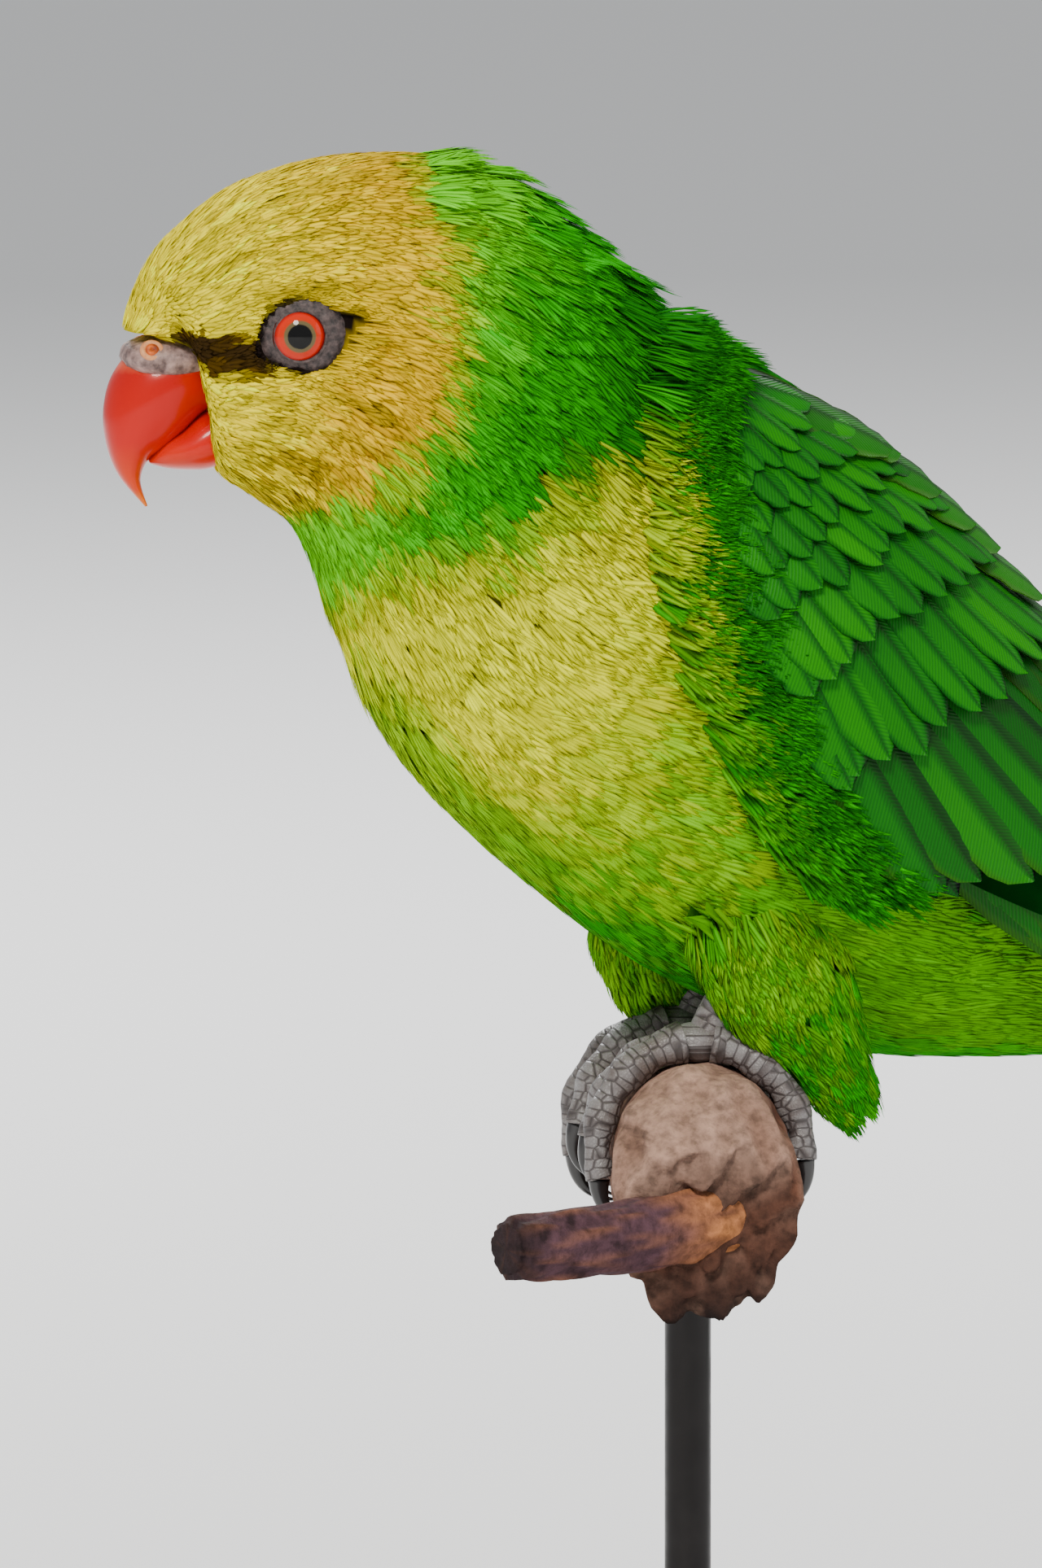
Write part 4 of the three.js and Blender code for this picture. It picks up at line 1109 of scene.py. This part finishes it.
def eye_material(side):
    """A pupil, a grey inner ring and an orange-red iris, painted by distance from the eye's axis."""
    made = material(f"eye_{side}", (0.02, 0.01, 0.01), 0.08, Specular_IOR_Level=0.1, Coat_Weight=1.0,
                    Coat_Roughness=0.02, Coat_IOR=1.25)
    n = Nodes(made)
    x, y = (n.math("SUBTRACT", part, 0.5) for part in n.uv("OFBake"))
    far = n.math("SQRT", n.math("ADD", n.math("MULTIPLY", x, x), n.math("MULTIPLY", y, y)))
    spokes = n.math("MULTIPLY", n.math("SUBTRACT", n.noise(1500.0), 0.5), 0.012)
    r = n.math("ADD", far, spokes)
    n.colour(n.ramp(r, (0.0, grey(0.004)), (0.132, grey(0.004)), (0.142, linear(96, 86, 58)),
                    (0.172, linear(104, 88, 56)), (0.186, linear(196, 44, 2)), (0.24, linear(210, 34, 0)),
                    (0.262, linear(170, 18, 0)), (0.3, linear(50, 20, 12))))
    return made


def make_eye(name, side):
    polar = np.linspace(0.02, math.pi * 0.62, 28)[:, None]
    spin = full_turn(48)[None, :]
    out = np.sin(polar)
    flat = np.stack([out * np.cos(spin), out * np.sin(spin), np.cos(polar) + 0 * spin], -1)
    ball = loft_object(f"eyeball_{name}", side_place(side, EYE_OUT, EYE_FORWARD)(flat * EYE_RADIUS))
    disc = flat[..., :2] * 0.4 + 0.5
    add_uv(ball, "OFBake", np.concatenate([np.full_like(disc[:1], 0.5), disc, disc[-1:]]))
    return finish_piece(ball, eye_material(name), "eye_glass", f"eye_{name}")


def make_lids():
    dark = skin_material("lid_skin", linear(30, 22, 22), linear(92, 76, 74), 1500.0)
    for name, side in SIDES.items():
        finish_piece(lid_ring(name, side), dark, "cere_skin")


LID_PROFILE = [  # radius and height out of the head, from the eye's edge to the feathers
    [2.62, 0.1], [2.66, 0.45], [2.82, 0.62], [3.0, 0.55], [3.12, 0.36], [3.3, 0.42], [3.5, 0.28],
    [3.7, 0.32], [3.95, 0.1], [4.2, 0.0], [4.6, -0.45], [5.3, -1.2], [5.2, -2.0], [2.62, -2.0],
]


def lid_ring(name, side):
    """The bare wrinkled skin round an eye."""
    profile = np.array(LID_PROFILE)
    rings = 120
    around = full_turn(rings)[:, None]
    ripple = 0.03 * np.sin(around * 17 + 3 * np.sin(around * 3)) * smooth(2.7, 3.6, profile[None, :, 0])
    longer = 1 + 0.1 * np.abs(np.cos(around)) ** 3 * smooth(3.0, 5.0, profile[None, :, 0])
    r = profile[None, :, 0] * longer
    p = np.stack([r * np.cos(around), r * np.sin(around), profile[None, :, 1] + ripple], -1)
    faces = grid_faces(rings + 1, len(profile), closed=True) % (rings * len(profile))
    return new_object(f"lid_{name}", side_place(side, RING_OUT, RING_FORWARD)(p), faces)


# Feet and legs

TOES = [  # name, direction, sweep in degrees, splay
    ("inner_front", 1, 84, 3.4),
    ("outer_front", 1, 104, -3.6),
    ("inner_back", -1, 66, 3.6),
    ("outer_back", -1, 94, -3.4),
]
TOE_START = 8  # degrees from the perch's top
TOE_THICK = (2.1, 1.5)
CLAW = {"sweep": 36, "root": 1.25, "tip": 0.12, "lift": 1.1}
FOOT_OUT = 11.0


def tube_object(name, path, radius, sides=24):
    """A round piece along a path, with a radius for each of its points."""
    path = np.asarray(path, float)
    lie = unit(np.gradient(path, axis=0))
    side = unit(np.cross(lie, np.array([0.13, 0.97, 0.21])))
    rise = np.cross(lie, side)
    angle = full_turn(sides)
    ring = np.cos(angle)[None, :, None] * side[:, None] + np.sin(angle)[None, :, None] * rise[:, None]
    radius = np.asarray(radius, float)
    radius = radius[:, None] if radius.ndim == 1 else radius
    return loft_object(name, path[:, None] + ring * radius[..., None])


def round_perch(angle, radius, y):
    angle = np.radians(angle)
    return swung(np.stack([-radius * np.sin(angle), y + 0 * angle, radius * np.cos(angle)], -1))


def toe_y(side, splay, s):
    return side * FOOT_OUT - side * splay * np.minimum(1, 0.35 + 0.75 * s)


def scale_material():
    """Grey foot skin with scutes across it and small scales between them."""
    made = material("foot_scales", linear(120, 120, 124), 0.42)
    n = Nodes(made)
    around, along = n.uv("Scutes")
    scutes = n.add("ShaderNodeCombineXYZ", X=n.math("MULTIPLY", around, 5.0),
                   Y=n.math("MULTIPLY", along, 0.95))
    cells = n.add("ShaderNodeTexVoronoi", {"feature": "DISTANCE_TO_EDGE"}, Scale=1.0, Randomness=0.55,
                  Vector=scutes.outputs[0])
    grains = n.add("ShaderNodeTexVoronoi", {"feature": "DISTANCE_TO_EDGE"}, Scale=2400.0, Vector=n.place())
    plate = n.math("MINIMUM", n.math("MULTIPLY", cells.outputs[0], 7.0), 1.0)
    fine = n.math("MINIMUM", n.math("MULTIPLY", grains.outputs[0], 5.0), 1.0)
    relief = n.math("MULTIPLY", plate, n.math("MULTIPLY_ADD", fine, 0.22, 0.78))
    shade = n.ramp(relief, (0.0, linear(70, 64, 64)), (0.5, linear(112, 107, 108)),
                   (0.95, linear(144, 142, 143)))
    blotch = n.ramp(n.noise(240.0), (0.3, linear(176, 160, 152)), (0.7, grey(1.0)))
    n.colour(n.times(shade, blotch))
    n.bump(relief, 0.45, 0.0003)
    return made


def tube_uv(obj, path, sides=24):
    """Scute coordinates: share around and millimetres along."""
    along = np.concatenate([[0], np.cumsum(np.linalg.norm(np.diff(path, axis=0), axis=1))])
    along = capped(along)[:, None] + np.zeros(sides)
    around = np.arange(sides) / sides + 0 * along
    add_uv(obj, "Scutes", np.stack([around, along], -1))
    return obj


def make_foot(name, side, scales, horn):
    s = np.linspace(0, 1, 140)
    for toe, ahead, sweep, splay in TOES:
        angle = ahead * (TOE_START + (sweep - TOE_START) * s)
        thick = TOE_THICK[0] + (TOE_THICK[1] - TOE_THICK[0]) * s
        bulge = 0.22 * np.cos(s * 6 * math.pi) + 0.02 * np.cos(s * 30 * math.pi)
        path = round_perch(angle, PERCH_RADIUS + thick - 0.1, toe_y(side, splay, s))
        toe_piece = tube_uv(tube_object(f"toe_{name}_{toe}", path, thick + bulge), path)
        finish_piece(toe_piece, scales, "foot_scales")
        arc = np.linspace(0, 1, 30)
        width = CLAW["root"] + (CLAW["tip"] - CLAW["root"]) * arc**0.9
        lift = CLAW["lift"] * np.sin(math.pi * arc)
        along = ahead * (sweep + 1.0 + CLAW["sweep"] * arc)
        hook = round_perch(along, PERCH_RADIUS + 0.45 + width + lift, toe_y(side, splay, 1.0))
        nail = tube_object(f"nail_{name}_{toe}", hook, width, 16)
        finish_piece(nail, horn, "claw_horn", f"claw_{name}_{toe}")
    y = side * FOOT_OUT
    leg = swung(np.array([[0.5, y, 11.4], [2, y, 14.5], [4, y, 18], [7, y, 23]]))
    path = catmull(leg, np.linspace(0, 3, 40))
    shank = tube_object(f"shank_{name}", path, np.linspace(2.2, 2.4, 40))
    finish_piece(tube_uv(shank, path), scales, "foot_scales")
    pad = pad_object(f"pad_{name}", y)
    finish_piece(pad, scales, "foot_scales", f"foot_{name}")


def pad_object(name, y):
    """The palm, where the toes meet on the perch."""
    polar = np.linspace(0.05, math.pi - 0.05, 24)[:, None]
    spin = full_turn(32)[None, :]
    x = 3.9 * np.sin(polar) * np.cos(spin)
    z = PERCH_RADIUS + 1.9 + 2.3 * np.cos(polar) + 0 * x
    p = np.stack([x, y + 3.1 * np.sin(polar) * np.sin(spin), z], -1)
    pad = loft_object(name, swung(p))
    height = np.linspace(0, 8, 26)[:, None] + np.zeros(32)
    add_uv(pad, "Scutes", np.stack([height * 0, height], -1))
    return pad


THIGH = {"top": (1, 30), "knee": (6, 17), "bottom": (15.2, 2.4), "radii": (11, 8.5, 2.6), "out": 3.2}
THIGH_BED = (0.25, 0.9)  # shares along the thigh
THIGH_ROOTS = (0.0, 0.88)


def thigh_point(side):
    """The thigh's own map, at share t along it, to below its tip, and angle a."""
    y = side * (FOOT_OUT + THIGH["out"])
    top, knee, bottom = (np.array([THIGH[k][0], y, THIGH[k][1]], float) for k in ("top", "knee", "bottom"))
    path = np.array([top - [0, side * 2, 0], knee, bottom, bottom + (bottom - knee) * 0.6])

    def point(t, a):
        row = np.clip(t, 0, 1.3) * 2
        centre = catmull(path, row)
        lie = unit(catmull(path, row + 0.05) - catmull(path, row - 0.05))
        outward = np.broadcast_to(np.array([0.0, 1.0, 0.0]), lie.shape)
        forward = unit(np.cross(lie, outward))
        radius = np.interp(row / 2, [0, 0.5, 1, 1.3], [*THIGH["radii"], 0.8])[..., None]
        return centre + radius * (forward * np.cos(a)[..., None] + 0.72 * outward * np.sin(a)[..., None])

    return point


def make_thigh(name, side):
    """Feathered thigh: a bed under long soft barbs that hang to the perch."""
    point = thigh_point(side)
    t, a = map_grid(*THIGH_BED, 24, 24)
    p = point(t, a)
    centre = p.mean(1, keepdims=True)
    share = 0.5 + 0.3 * smooth(0.25, 0.55, t)
    bed = loft_object(f"thigh_bed_{name}", centre + (p - centre) * share[..., None])
    # Painted shade: the bed under the thigh's feathers is a darker copy of their green
    add_tint(bed, GRASS * 0.6)
    finish_piece(bed, PLUMAGE, "thigh_feathers", f"thigh_{name}")
    count = 620
    root = np.stack([rng.uniform(*THIGH_ROOTS, count), rng.uniform(0, 2 * math.pi, count)], -1)
    ahead, across = surface_steps(point, root, rng.normal(0, 8, count))
    greener = 0.55 + smooth(0.2, 0.7, root[:, 0]) * 0.35 + rng.normal(0, 0.16, count)
    colour = blend(BELLY, GRASS, clamp(greener))
    colour = colour * rng.uniform(0.75, 1.1, (count, 1))
    spec = {
        "barbs": 8, "length": rng.uniform(4.0, 6.0, count), "width": 3.4 - 1.8 * root[:, 0], "loose": 0.8,
        "ridge": 0.03, "arch": 0.1, "outward": -1, "low": -0.9 - 3.6 * smooth(0.3, 0.0, root[:, 0]),
        "high": rng.normal(0, 0.12, count),
    }
    feather_coat(f"thigh_coat_{name}", "thigh_feathers", point, root, ahead, across, colour, spec, 0.25)


# Perch and stand

PERCH = {"near": -29, "far": 24, "droop_from": 15.5, "droop": 0.058, "knobs": 0.4}
TWIG = [[-6, -22, -6.5], [-19, -24, -8], [-35, -27, -8.5]]


def bark_material():
    """Weathered wood: each piece's tint, which holds painted light and shade on the branch, with grain along
    it.
    """
    made = material("perch_wood", linear(140, 116, 100), 0.85, Specular_IOR_Level=0.2)
    n = Nodes(made)
    grain = n.noise(1.0, n.stretched((420, 60, 420), (0, 0, math.radians(20))), detail=8.0)
    pits = n.noise(900.0, detail=5.0)
    crack = n.ramp(grain, (0.32, grey(0.45)), (0.42, grey(0.86)), (0.7, grey(1.15)))
    pitted = n.times(n.tint(), n.ramp(pits, (0.34, grey(0.62)), (0.6, grey(1.08))))
    n.colour(n.times(pitted, crack))
    n.bump(n.math("ADD", grain, n.math("MULTIPLY", pits, 0.5)), 0.9, 0.0008)
    return made


BARK_WAVES = [(int(rng.integers(2, 22)), rng.uniform(-0.9, 0.9), rng.uniform(0, 6.28)) for _ in range(22)]


def bark(angle, y):
    """Ridges and hollows of the bark, about -1 to 1."""
    waves = sum(np.sin(k * angle + f * y + p) / (1 + 0.12 * k) for k, f, p in BARK_WAVES)
    return waves / 3.2


def wood_tint_and_painted_light(p, rough, end_share):
    """Painted light and shade: pale on top and on the front side, dark brown below; nearly black at a broken
    end.
    """
    # Painted light: the lit share rises towards the top and the front side of the perch
    height = (p[..., 2] + PERCH_RADIUS) / (2 * PERCH_RADIUS) - 0.016 * p[..., 0]
    painted_light_share = clamp(smooth(0.05, 0.6, height) + rough * 0.2)
    brown = blend(linear(30, 20, 18), linear(104, 66, 50), painted_light_share)
    # Painted highlight: pale where the top catches the light
    colour = blend(brown, linear(176, 140, 122), clamp(smooth(0.6, 1.15, height) + rough * 0.25))
    return blend(colour, linear(30, 22, 22), end_share)


TORN_WAVES = [(*rng.uniform(-1.6, 1.6, 2), rng.uniform(0, 6.28)) for _ in range(14)]


def torn_relief(x, z):
    """Splinters of the broken end, about -1 to 1, by place across it."""
    waves = sum(np.sin(a * x + b * z + c) for a, b, c in TORN_WAVES) / 3.5
    return waves + 0.35 * np.abs(np.sin(1.3 * x + 2 * waves))


def make_perch():
    wood = bark_material()
    make_branch(wood)
    make_twig(wood)


def make_branch(wood):
    angle = full_turn(120)[None, :]
    near, far = PERCH["near"] + 1.6, PERCH["far"] - 0.2
    rows = [(share, near + 0.8 * (1 - share), 1.0) for share in np.linspace(0.02, 0.96, 26)]
    rows += [(1.0, y, float(clamp(1 - (y - near) / 3)))
             for y in np.linspace(near + 0.5, far - 0.5, 150)]
    rows += [(share, far, 0) for share in np.linspace(0.96, 0.05, 16)]
    share, along, torn = (np.array(column)[:, None] for column in zip(*rows))
    relief = torn_relief(PERCH_RADIUS * share * np.sin(angle), PERCH_RADIUS * share * np.cos(angle))
    y = along + torn * relief * 0.7
    rough = bark(angle, y) * share**3
    free = clamp((np.abs(y) - 15) / 6)
    knob = np.sin(3 * angle + y * 0.31) + np.sin(2 * angle - y * 0.23)
    radius = (PERCH_RADIUS - 0.3 + free * PERCH["knobs"] * knob + rough * (0.15 + 0.4 * free)) * share
    sag = -PERCH["droop"] * np.maximum(0, -y - PERCH["droop_from"]) ** 2
    p = swung(np.stack([radius * np.sin(angle), y, sag + radius * np.cos(angle)], -1))
    branch = loft_object("branch", p)
    level = p - np.stack([0 * y, 0 * y, sag], -1)
    # Painted light and shade on the branch, with a dark broken end
    tint = wood_tint_and_painted_light(level, rough + torn * relief * 0.6, torn * (share < 1) * 0.4)
    add_tint(branch, capped(tint))
    finish_piece(branch, wood, "perch_wood", "perch")


def make_twig(wood):
    """The stub of a twig beside the feet, paler where it leaves the perch."""
    s = np.linspace(0, 1, 90)
    path = catmull(np.array(TWIG, float), s * 2)
    twist = bark(full_turn(40)[None, :], s[:, None] * 30)
    width = (4.5 - s)[:, None] * (1 + 0.09 * twist) * np.where(s > 0.96, 0.8, 1.0)[:, None]
    twig = tube_object("branch_twig", path, width, 40)
    base_share = smooth(0.5, 0.1, s)[:, None] * np.ones(40)
    colour = blend(linear(84, 58, 66), linear(186, 120, 72), clamp(base_share * 0.8 + twist * 0.25))
    colour = blend(colour, linear(30, 22, 22), smooth(0.8, 1.0, s)[:, None] * np.ones(40) * 0.8)
    add_tint(twig, capped(colour))
    finish_piece(twig, wood, "perch_wood")


BASE = {"radius": 54.0, "thick": 7.0, "chamfer": 1.2}
GROOVE = [(6, 0), (6.4, 0.3), (7.0, 0.3), (7.4, 0)]  # in from the base's edge, and its depth
ROD_RADIUS = 2.6


def make_stand():
    make_base()
    make_rod()


def make_base():
    wood = material("stand_wood", linear(52, 38, 30), 0.38, Coat_Weight=0.3, Coat_Roughness=0.2)
    n = Nodes(wood)
    grain = n.noise(1.0, n.stretched((18, 220, 220)), detail=6.0)
    n.colour(n.ramp(grain, (0.3, linear(38, 27, 20)), (0.7, linear(70, 50, 38))))
    n.bump(grain, 0.1, 0.0002)
    r, t, c = BASE["radius"], BASE["thick"], BASE["chamfer"]
    steps = [k * math.pi / 12 for k in range(7)]
    bevel = [(r - c + c * math.sin(step), t - c + c * math.cos(step)) for step in steps]
    profile = [(r, 0.0), *reversed(bevel), *((r - inside, t - deep) for inside, deep in GROOVE), (2, t)]
    rings = np.array([[(x * math.cos(a), x * math.sin(a), z) for a in full_turn(160)] for x, z in profile])
    plate = loft_object("base_plate", rings - PERCH_AT)
    finish_piece(plate, wood, "stand_finish", "stand_base")


def make_rod():
    steel = material("stand_steel", linear(46, 44, 44), 0.35, Metallic=0.85)
    n = Nodes(steel)
    n.roughness(n.ramp(n.noise(300.0), (0.3, grey(0.28)), (0.7, grey(0.42))))
    low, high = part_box("stand_rod")
    z = np.linspace(low.z, high.z, 30)[:, None] / MM
    turn = full_turn(40)[None, :]
    centre = (low + high) / 2 / MM
    x = centre.x + ROD_RADIUS * np.cos(turn) + 0 * z
    y = centre.y + ROD_RADIUS * np.sin(turn) + 0 * z
    bar = np.stack([x, y, z + 0 * turn], -1)
    finish_piece(loft_object("stand_bar", bar - PERCH_AT), steel, "stand_finish", "stand_rod")


# Camera, lights and floor

PHOTO_SIZE = (1280, 1927)
PIXEL = 0.091
AZIMUTH, ELEVATION = math.radians(-25), math.radians(5)
CAMERA_FAR = 4.0
AIM = (-18.66, 39.7)  # picture centre from the perch's axis, right and up
LIGHTS = [  # name, place, size, power, colour
    ("key", (-0.9, -1.2, 1.5), 0.55, 38, (1.0, 0.96, 0.88)),
    ("fill", (1.4, -1.0, 0.7), 1.2, 5, (0.95, 0.97, 1.0)),
    ("rim", (0.3, 1.3, 1.2), 0.8, 30, (1, 1, 1)),
]
LIT_PLACE = (0, 0, 0.12)
FLOOR_HALF = 30.0
SKY, SKY_POWER = (0.86, 0.88, 0.9), 0.58


def make_camera():
    level = math.cos(ELEVATION)
    back = Vector((math.sin(AZIMUTH) * level, -math.cos(AZIMUTH) * level, math.sin(ELEVATION)))
    right = Vector((math.cos(AZIMUTH), math.sin(AZIMUTH), 0))
    up = back.cross(right)
    target = Vector(PERCH_AT) + right * AIM[0] + up * AIM[1]
    data = bpy.data.cameras.new("camera")
    data.sensor_width = 36
    data.lens = data.sensor_width * CAMERA_FAR / (PHOTO_SIZE[1] * PIXEL * MM)
    data.clip_end = 50
    camera = bpy.data.objects.new("camera", data)
    camera.location = target * MM + back * CAMERA_FAR
    camera.rotation_mode = "QUATERNION"
    camera.rotation_quaternion = (-back).to_track_quat("-Z", "Y")
    bpy.context.scene.collection.objects.link(camera)
    bpy.context.scene.camera = camera


def make_lights():
    for name, location, size, power, colour in LIGHTS:
        data = bpy.data.lights.new(name, "AREA")
        data.shape, data.size, data.energy, data.color = "DISK", size, power, colour
        light = bpy.data.objects.new(name, data)
        light.location = location
        aim = Vector(LIT_PLACE) - Vector(location)
        light.rotation_mode = "QUATERNION"
        light.rotation_quaternion = aim.to_track_quat("-Z", "Y")
        bpy.context.scene.collection.objects.link(light)


def make_floor():
    mesh = bpy.data.meshes.new("floor")
    corners = [(x * FLOOR_HALF, y * FLOOR_HALF, 0) for x, y in ((-1, -1), (1, -1), (1, 1), (-1, 1))]
    mesh.from_pydata(corners, [], [(0, 1, 2, 3)])
    floor = bpy.data.objects.new("floor", mesh)
    bpy.context.scene.collection.objects.link(floor)
    mesh.materials.append(material("floor_paint", grey(0.9), 0.9))


def make_world():
    world = bpy.data.worlds.new("studio")
    world.use_nodes = True
    background = world.node_tree.nodes["Background"]
    background.inputs[0].default_value = (*SKY, 1)
    background.inputs[1].default_value = SKY_POWER
    bpy.context.scene.world = world


make_camera()
make_skin()
make_plumage()
for wing_name, wing_side in SIDES.items():
    make_wing(f"wing_{wing_name}", wing_side)
    make_thigh(wing_name, wing_side)
    make_eye(wing_name, wing_side)
make_tail()
make_bill()
make_lids()
foot_scales = scale_material()
claw_horn = material("claw_horn", linear(30, 27, 28), 0.3, Coat_Weight=0.4)
for foot_name, foot_side in SIDES.items():
    make_foot(foot_name, foot_side, foot_scales, claw_horn)
make_perch()
make_stand()
make_floor()
make_world()
make_lights()
